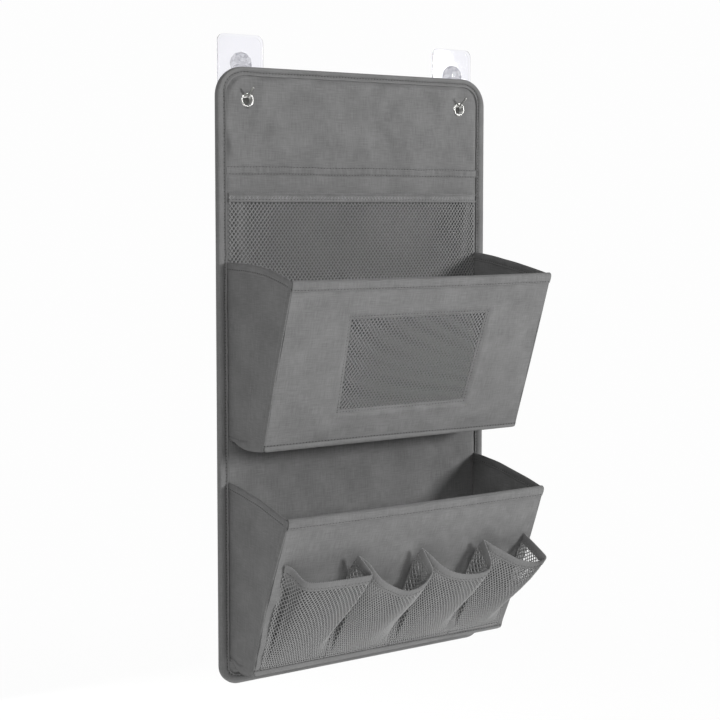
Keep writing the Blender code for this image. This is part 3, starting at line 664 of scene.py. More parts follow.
def panel_relief(x, height):
    """How far the face stands off its board: creases, dents round the eyelets and puckers by the seam."""
    relief = 1.0 * waves(x, height * 0.6, 42 * MM, 1) + 0.60 * waves(x, height * 0.7, 22 * MM, 2)
    # The header hangs loosest on its board, so it is the most creased, except round its eyelets
    loose = ease(height, HEADER_SEAM + 6 * MM, HEADER_SEAM + 24 * MM)
    for side in (-1, 1):
        reach = np.hypot(x - side * EYELET_X, height - EYELET_Z)
        loose = loose * (1 - bell(reach, 13 * MM))
    relief = relief * (1 + 1.8 * loose) + long_creases(x, height)
    for side in (-1, 1):
        dx, dz = x - side * EYELET_X, height - EYELET_Z
        reach = np.hypot(dx, dz)
        relief = relief + 0.5 * np.exp(-reach / (20 * MM)) * np.cos(5 * np.arctan2(dz, dx) + side)
        relief = relief - 0.6 * bell(reach, 9 * MM)
    from_seam = np.abs(height - HEADER_SEAM)
    over_foot = ease(height, NET_FOOT - 5 * MM, NET_FOOT + 5 * MM)
    under_net = over_foot * (1 - ease(height, NET_TOP, NET_TOP + 12 * MM))
    relief = relief * (1 - 0.85 * bell(from_seam, 10 * MM)) * (1 - 0.75 * under_net)
    relief = relief + 0.26 * waves(x, x * 0, 5.5 * MM, 4, 6) * np.exp(-from_seam / (6 * MM))
    inside = np.minimum(half_width_at(height, 10 * MM) - np.abs(x),
                        np.minimum(PANEL_HEIGHT - 8.9 * MM - height, height - 10 * MM))
    run = np.where(half_width_at(height, 10 * MM) - np.abs(x) < PANEL_HEIGHT - 10 * MM - height, height, x)
    relief = relief + 0.3 * np.exp(-np.maximum(inside, 0) / (7 * MM)) * waves(run, run * 0, 9 * MM, 3)
    # The tape's stitches draw the cloth down into a narrow groove beside it
    groove = 0.5 * bell(inside - 0.3 * MM, 0.9 * MM)
    # The header's and the main cloth's edges are folded away under the seam's strip
    shown = 0.05 + 0.95 * ease(from_seam, SEAM_STRIP / 2 - 0.3 * MM, SEAM_STRIP / 2 + 1.1 * MM)
    standing = 0.65 + 0.75 * loose + np.clip(relief, -0.6 - 0.75 * loose, 1.2 + 1.4 * loose)
    return (standing * ease(inside, 0.0, 5 * MM) * shown - groove) * MM


def panel_face(name, low, high, inset, step):
    """One of the two cloths of the panel's front, from a low to a high line, with its relief."""
    # Rows lie closer by the tape, and a little closer by the seam
    crowd_low = 12 * MM if low == FACE_INSET else 6 * MM
    crowd_high = 18 * MM if high == PANEL_HEIGHT - FACE_INSET else 6 * MM
    heights = rows_between(low, high, step, crowd_low, crowd_high)
    shares = rows_between(-1.0, 1.0, 2 * step / PANEL_WIDTH, 0.09, 0.09)
    height = grid(heights, shares)
    x = half_width_at(height, inset) * shares[None, :]
    front = on_panel(x, panel_relief(x, height), height)
    back = on_panel(x, -CLOTH, height)
    return slab(name, front, back, np.stack([x, height], -1))


def cut_round_holes(piece, radius):
    """Cuts the two eyelet holes through a sheet."""
    profile = [(0.01 * MM, -9 * MM), (radius, -9 * MM), (radius, 9 * MM), (0.01 * MM, 9 * MM)]
    for side in (-1, 1):
        cutter = turned("eyelet cutter", profile, (side * EYELET_X, FACE_Y, FOOT_Z + EYELET_Z), 40)
        cut = piece.modifiers.new("eyelet hole", "BOOLEAN")
        cut.operation, cut.object = "DIFFERENCE", cutter
        plain_mesh(piece)
        bpy.data.objects.remove(cutter)
    return piece


header = panel_face("header_cloth", HEADER_SEAM, PANEL_HEIGHT - FACE_INSET, FACE_INSET, 2.4 * MM)
cut_round_holes(header, EYELET_HOLE)
dress(header, "organizer", CANVAS, ["header_face"])
main_cloth = panel_face("main_cloth", FACE_INSET, HEADER_SEAM - 0.3 * MM, FACE_INSET, 2.6 * MM)
dress(main_cloth, "organizer", CANVAS, ["main_face"])


def flat_sheet(name, low, high, inset, out, thickness, step=6 * MM):
    """A plain cloth over the whole back."""
    heights = rows_between(low, high, step, 24 * MM, 30 * MM)
    shares = np.linspace(-1, 1, int(PANEL_WIDTH / step) + 1)
    height = grid(heights, shares)
    x = half_width_at(height, inset) * shares[None, :]
    sway = 0.15 * MM * waves(x, height, 60 * MM, 5)
    back = on_panel(x, out - thickness + sway - 0.2 * MM, height)
    return slab(name, on_panel(x, out, height), back, np.stack([x, height], -1))


backing = flat_sheet("back_cloth", FACE_INSET, PANEL_HEIGHT - FACE_INSET, FACE_INSET, BACK_OUT, CLOTH)
cut_round_holes(backing, EYELET_HOLE)
dress(backing, "organizer", BACKING, ["back_lining"])


def make_edge_tape():
    """The tape folded round the panel's edge: a rolled bead, the groove of its stitches, and a thin lip."""
    outline, run = panel_outline()

    def drawn_in(inset):
        """The outline's x and height, moved in from the edge."""
        return outline[:, 0:1] + outline[:, 2:3] * inset, outline[:, 1:2] + outline[:, 3:4] * inset

    section = np.array([
        (10.0, 0.10), (10.0, 1.15), (9.75, 1.45), (9.35, 1.50), (9.0, 1.20), (8.7, 0.50), (8.2, 0.12),
        (7.6, 0.12), (7.3, 0.35), (7.0, 0.80), (6.3, 1.35), (5.4, 1.80), (4.4, 2.10), (3.3, 2.25),
        (2.3, 2.20), (1.4, 1.95), (0.7, 1.45), (0.25, 0.75), (0.05, -0.40), (0.0, -1.80), (0.0, -3.40),
        (0.1, -4.40), (0.6, -5.10), (1.6, -5.50), (3.4, -5.65), (5.6, -5.55), (7.4, -5.30), (7.9, -5.05),
        (8.4, -5.30), (9.4, -5.45), (10.0, -5.20), (10.0, -4.60), (8.0, -4.50), (1.8, -4.45), (1.2, -2.60),
        (2.6, -0.40), (4.6, 0.15), (8.0, 0.12),
    ])
    groove, width = 8.2, 10.0
    # Along the top the tape is narrower and its stitches lie nearer the edge
    top = ease(outline[:, 1:2], PANEL_HEIGHT - 32 * MM, PANEL_HEIGHT - 8 * MM)
    groove_here, width_here = groove - 2.5 * top, width - 1.2 * top
    inward, out = section[None, :, 0], section[None, :, 1]
    beyond = groove_here + (inward - groove) * (width_here - groove_here) / (width - groove)
    inwards = np.where(inward <= groove, inward * groove_here / groove, beyond)
    turns = run * 2 * math.pi / run[-1]
    loop_x, loop_z = (part * run[-1] / (2 * math.pi) for part in (np.cos(turns), np.sin(turns)))
    swell = (0.20 * waves(loop_x, loop_z, 16 * MM, 11) + 0.14 * waves(loop_x, loop_z, 6 * MM, 12))[:, None]
    wander = (0.25 * waves(loop_x, loop_z, 40 * MM, 13) + 0.22 * waves(loop_x, loop_z, 8 * MM, 14))[:, None]
    full = bell(inward - 4.0, 3.0) * np.sign(out + 2.1)
    outs = (out + full * swell) * MM
    x, height = drawn_in((inwards + (inward > 7.0) * wander) * MM)
    tape = swept("edge_tape", on_panel(x, outs, height), closed=True)
    dress(tape, "organizer", TAPE, ["edge_binding"])

    x, height = drawn_in((groove_here - 0.3 + wander) * MM)
    lines = [on_panel(x[:, 0], out_at, height[:, 0]) for out_at in (0.30 * MM, -PANEL_DEPTH - 1.0 * MM)]
    rows = [list(line) + [line[0]] for line in lines]
    stitch("edge_tape_stitches", rows, "organizer")


make_edge_tape()


def make_header_seam():
    """The seam between header and main cloth: a puckered strip with a stitched groove by each edge."""
    half = PANEL_WIDTH / 2 - 10.3 * MM
    x = np.linspace(-half, half, 420)
    low, high = HEADER_SEAM - SEAM_STRIP / 2, HEADER_SEAM + SEAM_STRIP / 2
    shares = np.array([0.0, 0.06, 0.11, 0.17, 0.30, 0.5, 0.70, 0.83, 0.89, 0.94, 1.0])
    profile = np.array([0.75, 0.85, 0.25, 0.80, 1.00, 1.05, 1.00, 0.80, 0.25, 0.85, 0.75])[:, None]
    drift = 0.35 * MM * waves(x, x * 0, 30 * MM, 22)
    height = low + (high - low) * shares[:, None] + drift[None, :]
    pucker = waves(x, x * 0, 4.8 * MM, 21, 6)[None, :] * np.sin(math.pi * shares)[:, None]
    out = (profile + 0.55 * pucker) * MM
    xs = np.broadcast_to(x, height.shape)
    back = on_panel(xs, 0.02 * MM, height)
    strip = slab("header_seam", on_panel(xs, out, height), back, np.stack([xs, height], -1))
    dress(strip, "organizer", CANVAS, ["header_seam_strip"])
    rows = [on_panel(x, out[row] + THREAD_RISE, height[row]) for row in (2, 8)]
    stitch("header_seam_stitches", rows, "organizer")


make_header_seam()

for side, sign in (("left", -1), ("right", 1)):
    at = (sign * EYELET_X, FACE_Y, FOOT_Z + EYELET_Z)
    rim = [(5.25, -5.4), (5.25, 0.30), (5.36, 0.80), (5.62, 1.15), (5.95, 1.38), (6.20, 1.44), (6.50, 1.36),
           (6.95, 1.08), (7.40, 0.66), (7.66, 0.30), (7.60, 0.12), (6.90, 0.05), (5.75, 0.05), (5.75, -5.4)]
    eyelet = turned(side + "_eyelet", np.array(rim) * MM, at)
    dress(eyelet, "organizer", NICKEL, [side + "_grommet_eyelet"])
    ring = [(6.05, -4.5), (7.60, -4.5), (7.60, -4.9), (7.42, -5.22), (7.10, -5.4), (6.30, -5.46),
            (6.05, -5.35)]
    washer = turned(side + "_eyelet_washer", np.array(ring) * MM, at)
    dress(washer, "organizer", NICKEL, [side + "_grommet_washer"])


# Nets

def net_lines(place, width, height, step):
    """Two families of slanting strands over a surface given by shares, and how thick each strand is."""
    lean = math.tan(math.radians(NET_LEAN))
    spacing = NET_PITCH / math.cos(math.radians(NET_LEAN))
    lines, shares = [], []
    for way, share in ((-1, 1.0), (1, LIGHT_STRAND / HEAVY_STRAND)):
        for number in range(int((width + height * lean) / spacing) + 1):
            foot = number * spacing + (-height * lean if way > 0 else 0.0)
            rise_in = max(0.0, -foot / lean if way > 0 else (foot - width) / lean)
            rise_out = min(height, (width - foot) / lean if way > 0 else foot / lean)
            if rise_out - rise_in < NET_PITCH:
                continue
            rise = np.linspace(rise_in, rise_out, max(2, int((rise_out - rise_in) / step) + 1))
            lines.append(place((foot + way * lean * rise) / width, rise / height))
            shares.append(share)
    return lines, shares


def make_net(name, place, width, height, step, body, solid, strand=1.0):
    """A piece of knitted net over a surface, cut to its width and height. Taut, its strands are thinner."""
    lines, shares = net_lines(place, width, height, step)
    shares = [share * strand for share in shares]
    net = along_lines(name, lines, NET_TREE, NET, shares)
    return dress(net, body, None, [solid])


def flat_net(across, up):
    """The flat pocket's net: slack and rippled at its mouth, and flat along its sides and foot."""
    side = 2 * np.asarray(across) - 1
    x = NET_HALF_WIDTH * side
    height = NET_FOOT + (NET_TOP - NET_FOOT) * np.asarray(up)
    slack = NET_SLACK * up * (1 - side ** 8)
    ripple = 0.5 * MM * waves(x, height, 34 * MM, 32) * up * (1 - side ** 8)
    out = 1.1 * MM + slack * (0.85 + 0.15 * waves(x, height, 90 * MM, 31)) + ripple
    return on_panel(x, np.maximum(out, 1.0 * MM), height)


flat_net_piece = make_net(
    "flat_net", flat_net, 2 * NET_HALF_WIDTH, NET_TOP - NET_FOOT - 5 * MM, 13 * MM, "organizer",
    "flat_net_pocket")

# Tape folded over an edge: shares of its width and how thick it is there, from its lower edge to its fold
TAPE_PROFILE = (
    (0.0, 0.50), (0.07, 0.95), (0.17, 0.90), (0.26, 0.55), (0.35, 0.92), (0.52, 1.05), (0.74, 1.10),
    (0.92, 0.95), (1.0, 0.45),
)
NET_TAPE_PROFILE = (
    (0.0, 0.85), (0.06, 1.50), (0.17, 1.45), (0.29, 0.40), (0.42, 0.42), (0.60, 0.38), (0.74, 0.70),
    (0.88, 1.45), (1.0, 0.65),
)
STITCHED_SHARE = 3


def tape_band(name, place, low, high, columns, thickness, seed, profile=TAPE_PROFILE, ripple=0.12):
    """A tape folded over a free edge: a band with rounded edges and a stitched groove along a surface."""
    across = np.linspace(0, 1, columns)
    shares, thick = (np.array(column)[:, None] for column in zip(*profile))
    grid_up = low + (high - low) * shares + 0 * across[None, :]
    grid_across = across[None, :] + 0 * grid_up
    middle = place(grid_across, grid_up)
    normal = normals(middle)
    wave = ripple * waves(across * 60, across * 0, 1.0, seed)[None, :]
    half = (thick + wave) * thickness
    uv = np.stack(np.broadcast_arrays(run_along(middle[0])[None, :], (high - low) * 0.12 * shares), -1)
    band = slab(name, middle + normal * half[..., None], middle - normal * half[..., None] * 0.8, uv)
    stitched = middle[STITCHED_SHARE], normal[STITCHED_SHARE], half[STITCHED_SHARE][:, None]
    return band, stitched


def make_net_tape():
    """The tape over the flat net's upper edge: two light ridges with a sunk, stitched middle."""
    low = 1 - NET_TAPE / (NET_TOP - NET_FOOT)
    band, (middle, normal, half) = tape_band(
        "flat_net_tape", flat_net, low, 1.0, 220, 1.0 * MM, 41, NET_TAPE_PROFILE, 0.2)
    dress(band, "organizer", TAPE, ["flat_net_pocket_binding"])
    row = middle + normal * (half + 0.05 * MM)
    stitch("flat_net_tape_stitches", [row], "organizer")


make_net_tape()


# Box pockets

def window_sides(up):
    """Half the window's width at a place up the front."""
    share = (up - WINDOW_LOW) / (WINDOW_HIGH - WINDOW_LOW)
    return WINDOW_HALF_LOW + (WINDOW_HALF_HIGH - WINDOW_HALF_LOW) * share


def front_half(pocket, up):
    """Half a front's width at a place up it: the side edges bulge, and the lower corners are rounded."""
    it = POCKETS[pocket]
    up = np.asarray(up, float)
    bulge = it["bulge"] * np.sin(math.pi * np.clip(up / it["length"], 0.0, 1.0))
    short = np.clip(it["corner"] - up, 0.0, it["corner"])
    return HALF_WIDTH + bulge - (it["corner"] - np.sqrt(it["corner"] ** 2 - short ** 2))


def window_gap(x, up):
    """The distance from the window's edge, and how far its corner's diagonal is."""
    aside = np.maximum(np.abs(x) - window_sides(up), 0.0)
    beyond = np.maximum(np.maximum(WINDOW_LOW - up, up - WINDOW_HIGH), 0.0)
    return np.hypot(aside, beyond), np.abs(aside - beyond)


def front_relief(pocket, x, up):
    """How far a front's cloth stands off flat: creases, puckers by hem and welt, and the sunk window seam."""
    length = POCKETS[pocket]["length"]
    seed = 51 if pocket == "upper" else 61
    relief = 0.9 * waves(x, up, 50 * MM, seed) + 0.50 * waves(x, up, 22 * MM, seed + 1)
    relief = 0.45 + np.clip(relief, -0.8, 1.2)
    for line in (length - HEM, WELT):
        near = np.abs(up - line)
        relief = relief * (1 - 0.8 * bell(near, 6 * MM))
        relief = relief + 0.16 * waves(x, x * 0, 8 * MM, seed + 2) * np.exp(-near / (5 * MM))
    if pocket == "upper":
        gap, crease = window_gap(x, up)
        relief = relief * ease(gap, 0.0, 9 * MM) - 1.1 * (1 - ease(gap, 1.5 * MM, 5.5 * MM))
        relief = relief + 0.85 * bell(gap - 6.8 * MM, 2.4 * MM)
        mitre = ease(gap, 2 * MM, 5 * MM) * (1 - ease(gap, 12 * MM, 20 * MM))
        relief = relief - 1.3 * bell(crease, 1.5 * MM) * mitre
    return relief * MM


def front_grid(pocket, step):
    """x and up over a front, with lines along the window's edges, and which cells are cloth."""
    length = POCKETS[pocket]["length"]
    if pocket == "lower":
        ups = rows_between(0.0, length, step, 9 * MM, 0.0)
        up = ups[:, None] * np.ones(int(2 * HALF_WIDTH / step) + 1)[None, :]
        return front_half(pocket, up) * np.linspace(-1, 1, up.shape[1])[None, :], up, None
    below = rows_between(0.0, WINDOW_LOW, step, 7 * MM, 0.0)
    beside = rows_between(WINDOW_LOW, WINDOW_HIGH, step)
    above = rows_between(WINDOW_HIGH, length, step)
    ups = np.concatenate([below[:-1], beside[:-1], above])
    outer, inner = 32, 64
    rows = []
    for up in ups:
        side, half = float(window_sides(up)), float(front_half(pocket, up))
        rows.append(np.concatenate([
            np.linspace(-half, -side, outer)[:-1], np.linspace(-side, side, inner)[:-1],
            np.linspace(side, half, outer)]))
    x = np.array(rows)
    keep = np.ones((x.shape[0] - 1, x.shape[1] - 1), bool)
    keep[len(below) - 1:len(below) + len(beside) - 2, outer - 1:outer + inner - 2] = False
    return x, ups[:, None] * np.ones_like(x), keep


def make_front(pocket):
    """A front: outer and inner cloth, the hem folded over its top, and the rolled welt along its foot."""
    body = pocket + "_front"
    length = POCKETS[pocket]["length"]
    x, up, keep = front_grid(pocket, 2.4 * MM)
    uv = np.stack([x, up + (1.0 if pocket == "upper" else 2.0)], -1)
    relief = front_relief(pocket, x, up)
    back = np.minimum(relief, 0.2 * MM) - CLOTH
    face = slab(pocket + "_front_cloth", on_front(pocket, x, relief, up), on_front(pocket, x, back, up),
                uv, keep)
    dress(face, body, CANVAS, [pocket + "_front_face"])
    inner = -FRONT_DEPTH - 0.10 * MM * waves(x, up, 50 * MM, 71)
    if pocket == "upper":
        inner = inner + 1.0 * MM * (1 - ease(window_gap(x, up)[0], 1.5 * MM, 6.5 * MM))
    inside = slab(pocket + "_front_inner_cloth", on_front(pocket, x, inner + CLOTH, up),
                  on_front(pocket, x, inner, up), uv, keep)
    dress(inside, body, LINING, [pocket + "_front_lining"])

    across = np.linspace(-1, 1, 200)[:, None]
    xs = across[:, 0] * (HALF_WIDTH + 1.1 * MM)
    section = np.array([
        (-9.0, 0.25), (-9.0, 1.15), (-8.7, 1.45), (-8.1, 1.35), (-7.6, 0.55), (-7.1, 1.20), (-6.0, 1.50),
        (-3.5, 1.52), (-1.2, 1.20), (0.3, 0.55), (1.05, -0.6), (1.25, -1.9), (1.05, -3.1), (0.3, -4.2),
        (-1.2, -4.85), (-3.5, -5.0), (-7.0, -4.9), (-9.0, -4.8), (-9.0, -4.15), (-1.4, -4.1), (-0.1, -3.1),
        (0.1, -1.9), (-0.1, -0.6), (-1.2, 0.2),
    ]) * MM
    wander = 0.30 * MM * waves(xs, xs * 0, 45 * MM, 72)[:, None] * (section[:, 0] < -8.3 * MM)
    outermost = (section[:, 1] > 0.9 * MM) | (section[:, 1] < -4.4 * MM)
    swell = 0.18 * MM * waves(xs, xs * 0, 11 * MM, 73)[:, None] * outermost * np.sign(section[:, 1])
    sag = -0.9 * MM * np.cos(math.pi / 2 * across) * (section[:, 0] > -20 * MM)
    edge = on_front(pocket, xs[:, None], section[:, 1] + swell, length + section[:, 0] + wander + sag)
    hem = swept(pocket + "_hem_tape", edge)
    dress(hem, body, CANVAS, [pocket + "_front_hem"])
    foot = np.array([
        (0.0, 0.1), (0.0, 1.0), (0.7, 1.5), (2.6, 1.75), (4.6, 1.45), (5.4, 0.95), (5.5, 0.1)]) * MM
    # The welt turns under towards the right
    taper = 1.0 - 0.4 * ease(across, -0.3, 1.0)
    swell = 0.14 * MM * waves(xs, xs * 0, 9 * MM, 74)[:, None] * (foot[:, 1] > 1.2 * MM)
    rolled = foot[None, :, 0] * taper
    welt_x = across * (front_half(pocket, rolled) + 0.9 * MM)
    welt = swept(pocket + "_welt",
                 on_front(pocket, welt_x, foot[:, 1] * (0.4 + 0.6 * taper) + swell, rolled))
    dress(welt, body, TAPE, [pocket + "_front_welt"])

    float(np.ptp(x))
    float(flat_area(x, up, keep))
    float(np.ptp(x))
    float(flat_area(x, up, keep))

    stitched_up = length - 7.6 * MM + sag[:, 0]
    rows = [
        on_front(pocket, xs, 0.66 * MM, stitched_up), on_front(pocket, xs, -5.0 * MM, stitched_up),
        on_front(pocket, xs, 0.55 * MM + 0 * xs, WELT * taper[:, 0] + 0.9 * MM),
    ]
    if pocket == "upper":
        reach = (WINDOW_HIGH - WINDOW_LOW) / 2 + 2.4 * MM
        ring_up = np.array([-1, -1, 1, 1, -1]) * reach + (WINDOW_HIGH + WINDOW_LOW) / 2
        ring_x = (window_sides(ring_up) + 2.4 * MM) * np.array([-1, 1, 1, -1, -1])
        rows += [on_front(pocket, ring_x, out, ring_up) for out in (-0.80 * MM, -3.35 * MM)]
    stitch(pocket + "_front_stitches", rows, body)


for pocket in POCKETS:
    make_front(pocket)


def window_net(across, up):
    """The window's net, a little wider than the window and sewn behind it."""
    rise = WINDOW_LOW - 4 * MM + (WINDOW_HIGH - WINDOW_LOW + 8 * MM) * np.asarray(up)
    x = (2 * np.asarray(across) - 1) * (window_sides(rise) + 4 * MM)
    sag = 0.7 * MM * np.sin(math.pi * np.clip(across, 0, 1)) * np.sin(math.pi * np.clip(up, 0, 1))
    return on_front("upper", x, -1.95 * MM + sag, rise)


window_net_piece = make_net("window_net", window_net, 164 * MM, 106 * MM, 12 * MM, "upper_front",
                            "upper_window_net", strand=0.95)


def gusset_place(pocket, side):
    """A gusset's middle surface by shares: depth from the panel to the front, and up."""
    it = POCKETS[pocket]
    sign = -1 if side == "left" else 1
    gusset_top, drop = GUSSETS[pocket, side]
    top_depth = it["depth"] + it["length"] * math.sin(it["lean"])
    front_top = it["height"] + it["length"] * math.cos(it["lean"])

    def place(depth, up):
        depth, up = np.broadcast_arrays(np.clip(depth, 0.0, 1.0), up)
        low = 0.3 * MM + (it["depth"] - 0.3 * MM) * depth
        high = 0.3 * MM + (top_depth - 0.3 * MM) * depth
        top = gusset_top - (gusset_top - front_top) * depth ** drop
        sag = it["sag"] * np.sin(math.pi * np.clip((depth - 0.2) / 0.8, 0.0, 1.0))
        foot = it["height"] + it["rise"] * (1 - ease(depth, 0.0, 0.35)) - sag
        out = low + (high - low) * up
        height = foot + (top - foot) * up
        full = np.sin(math.pi * depth) ** 2 * np.sin(math.pi / 2 * np.clip(up, 0.0, 1.0))
        bow = GUSSET_BOW * full
        crumple = 0.9 * MM * waves(out, height, 38 * MM, 81 + (sign > 0)) * np.sin(math.pi * depth)
        pressed = ease(up, 0.02, 0.15) * (1 - ease(up, 0.7, 0.95))
        fold = 0.95 * MM * bell(depth - 0.52, 0.024) * pressed
        edge = np.maximum(front_half(pocket, up * it["length"]) - HALF_WIDTH, -0.6 * MM) * depth ** 4
        aside = GUSSET_X - CLOTH / 2 - bow - np.maximum(crumple, -bow) - fold + edge
        return on_panel(sign * aside, out, height)

    return place


def make_gusset(pocket, side):
    """A gusset: its cloth with the raised seam along its front edge, its hem, and stitches on both faces."""
    it = POCKETS[pocket]
    sign = -1 if side == "left" else 1
    place = gusset_place(pocket, side)
    up = rows_between(0.0, 1.0, 0.010, 0.10, 0.0)[:, None]
    run = it["depth"] + it["length"] * math.sin(it["lean"]) * up
    shares = np.linspace(0, 1, 46)[None, :]
    seam = 1 - GUSSET_SEAM / run + (GUSSET_SEAM / run) * np.linspace(0, 1, 9)[None, :]
    depth = np.concatenate([(1 - (GUSSET_SEAM + 0.9 * MM) / run) * shares, seam], axis=1)
    ridge = [0.40, 0.62, 0.70, 0.74, 0.74, 0.70, 0.62, 0.48, 0.25]
    raised = np.concatenate([np.zeros(46), ridge])[None, :] * MM
    lobe = it["lobe"] * bell(up * it["length"], 7 * MM) * (raised > 0)
    middle = place(depth, up)
    normal = normals(middle)
    normal *= (sign * np.sign(normal[..., 0]))[..., None]
    outer = middle + normal * (CLOTH / 2 + raised + lobe)[..., None]
    # Along the foot the seam's allowance is folded up, and its stitches draw a line that rises to the front
    rise = middle[..., 2] - middle[:1, :, 2]
    from_line = rise - (1.6 + 14.0 * depth) * MM
    fade = 1 - ease(depth, 0.42, 0.60)
    folded_up = 0.6 * MM * (1 - ease(from_line, -1.2 * MM, 0.0))
    drawn_in = 0.45 * MM * bell(from_line, 0.8 * MM)
    outer = outer + normal * (fade * (folded_up - drawn_in))[..., None]
    name = f"{pocket}_{side}_gusset"
    uv = np.stack([-middle[..., 1], middle[..., 2] + 3.0], -1)
    cloth = slab(name + "_cloth", outer, middle - normal * CLOTH / 2, uv)
    dress(cloth, "organizer", CANVAS, [name])
    low = 1 - HEM / it["length"]
    hem, (along, away, half) = tape_band(name + "_hem", place, low, 1.0, 90, 0.95 * MM, 82)
    dress(hem, "organizer", CANVAS)
    rows = [along + away * (half + 0.05 * MM), along - away * (half * 0.8 + 0.05 * MM)]
    stitches = stitch(name + "_stitches", rows, "organizer")
    flat_depth, flat_height = -middle[..., 1], middle[..., 2]
    float(np.ptp(flat_height))
    float(np.abs(flat_area(flat_depth, flat_height)))
    for part in (cloth, hem, stitches):
        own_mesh(part)


for pocket, side in GUSSETS:
    make_gusset(pocket, side)


def make_floor(pocket):
    """The floor's two board halves in their cloth, with the crease between them."""
    for part in ("rear", "front"):
        low_corner, high_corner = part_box(f"{pocket}_floor_{part}_cloth")
        board_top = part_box(f"{pocket}_floor_{part}_board")[1][2]
        outs = np.linspace(FACE_Y - high_corner[1], FACE_Y - low_corner[1], 18)[:, None]
        x = np.linspace(-HALF_WIDTH, HALF_WIDTH, 110)[None, :] + 0 * outs
        outs = outs + 0 * x
        sway = 0.25 * MM * np.abs(waves(x, outs, 26 * MM, 91))
        over = board_top + 0.28 * MM - FOOT_Z
        under = on_panel(x, outs, low_corner[2] - FOOT_Z - sway)
        covering = slab(f"{pocket}_floor_{part}_covering", under, on_panel(x, outs, over),
                        np.stack([x, outs], -1))
        dress(covering, f"{pocket}_floor_{part}_half", CANVAS,
              [f"{pocket}_floor_{part}_cloth"])


for pocket in POCKETS:
    make_floor(pocket)

# Small net pockets: each mouth from its left end to its right, as (x, out, up) in mm. Where two pockets meet,
# their tapes stand up together in a fin
SMALL_FOOT = 7.5
SMALL_TAPE = 10.5 * MM
FIRST_FIN, SECOND_FIN, THIRD_FIN = (-72.0, 11.0, 140.0), (5.0, 10.0, 136.5), (82.8, 10.0, 135.0)
SMALL_SEAMS = (-148.5, -73.5, 4.0, 81.0, 147.5)
SMALL_POCKETS = (
    ((-147.5, 0.5, 134.0), (-140.0, 5.5, 131.5), (-135.0, 10.5, 125.5), (-131.0, 15.5, 122.2),
     (-122.0, 18.5, 121.4), (-93.0, 22.0, 122.8), (-68.0, 24.0, 124.5), (-60.0, 24.5, 125.0),
     (-61.0, 22.5, 127.5), FIRST_FIN),
    (FIRST_FIN, (-58.6, 15.0, 131.0), (-51.0, 18.5, 120.5), (-40.0, 21.0, 110.5), (-18.0, 22.0, 97.5),
     (-6.5, 24.0, 96.0), (7.5, 24.5, 101.0), (16.0, 23.0, 114.5), (15.0, 21.0, 119.5), SECOND_FIN),
    (SECOND_FIN, (17.0, 14.0, 127.4), (32.4, 20.0, 114.0), (55.0, 24.0, 105.5), (77.0, 26.0, 105.0),
     (86.0, 28.0, 110.5), (87.5, 26.0, 118.0), THIRD_FIN),
    (THIRD_FIN, (95.0, 12.5, 128.0), (111.0, 16.5, 119.5), (130.5, 24.0, 110.5), (146.0, 30.5, 111.0),
     (151.0, 37.5, 121.0), (150.0, 33.0, 123.0), (145.7, 0.5, 127.5)),
)


def rounded_line(corners, count, rounds=3):
    """A line through corners, rounded by cutting them, with evenly spaced points."""
    line = np.array(corners, float)
    for _ in range(rounds):
        cut = [line[0]]
        for start, end in zip(line, line[1:]):
            cut += [start * 0.75 + end * 0.25, start * 0.25 + end * 0.75]
        line = np.array(cut + [line[-1]])
    run = run_along(line)
    places = np.linspace(0, run[-1], count)
    return np.stack([np.interp(places, run, line[:, column]) for column in range(3)], -1)


def make_small_pocket(number, corners):
    """A small pocket: a loose piece of net, fuller at its mouth than at its foot, and its mouth's tape."""
    columns = 121
    mouth = rounded_line(corners, columns, 2) * MM
    left, right = SMALL_SEAMS[number - 1] * MM, SMALL_SEAMS[number] * MM
    shares = np.linspace(0, 1, columns)
    foot_x = left + (right - left) * shares
    # The net is sewn down along both sides, and leaves the front near the top only
    span = float(run_along(mouth)[-1])
    from_side = np.minimum(shares, 1 - shares) * span
    late = 0.92 + 7.0 * (1 - ease(from_side, 0.0, 12 * MM))

    def place(across, up):
        across, up = np.broadcast_arrays(np.clip(across, 0, 1), np.clip(up, 0, 1))
        top_x, top_out, top_up = (np.interp(across, shares, mouth[:, column]) for column in range(3))
        low_x, power = np.interp(across, shares, foot_x), np.interp(across, shares, late)
        height = SMALL_FOOT * MM + (top_up - SMALL_FOOT * MM) * up
        swell = np.clip((up - 0.04) / 0.96, 0.0, 1.0) ** power
        belly = 1 + 0.10 * np.sin(math.pi * up)
        x = low_x + (top_x - low_x) * ease(up, 0.0, 1.0) ** (0.5 + 0.5 * power)
        return on_front("lower", x, 0.9 * MM + top_out * swell * belly, height)

    name = f"small_net_pocket_{number}"
    rise = float(mouth[:, 2].mean()) - SMALL_FOOT * MM
    net = make_net(name + "_net", place, span, rise, 4 * MM, "lower_front", name)
    low = 1 - SMALL_TAPE / rise
    band, (along, away, half) = tape_band(
        name + "_tape", place, low, 1.0, 150, 0.90 * MM, 100 + number, ripple=0.16)
    dress(band, "lower_front", TAPE, [name + "_binding"])
    rows = [along + away * (half + 0.05 * MM)]
    rows += [place(edge, np.linspace(0.0, low, 60)) + (0, -0.3 * MM, 0) for edge in (0.004, 0.996)]
    rows.append(place(np.linspace(0.02, 0.98, 60), 0.012) + (0, -0.4 * MM, 0))
    stitch(name + "_stitches", rows, "lower_front")


for number, corners in enumerate(SMALL_POCKETS, start=1):
    make_small_pocket(number, corners)


# Wall hooks

# The boss's rings of corners: radius and distance out in mm, and the share of a facet by which each is turned
BOSS_RINGS = ((12.5, 3.0, 0.0), (12.5, 4.0, 0.0), (10.6, 6.4, 0.5), (6.2, 7.7, 0.0), (3.0, 7.2, 0.5))
BOSS_FACETS = 12
WIRE_RADIUS = 1.2 * MM
WIRE_TIP = 12 * MM
WIRE_TIP_TURN = 35.0


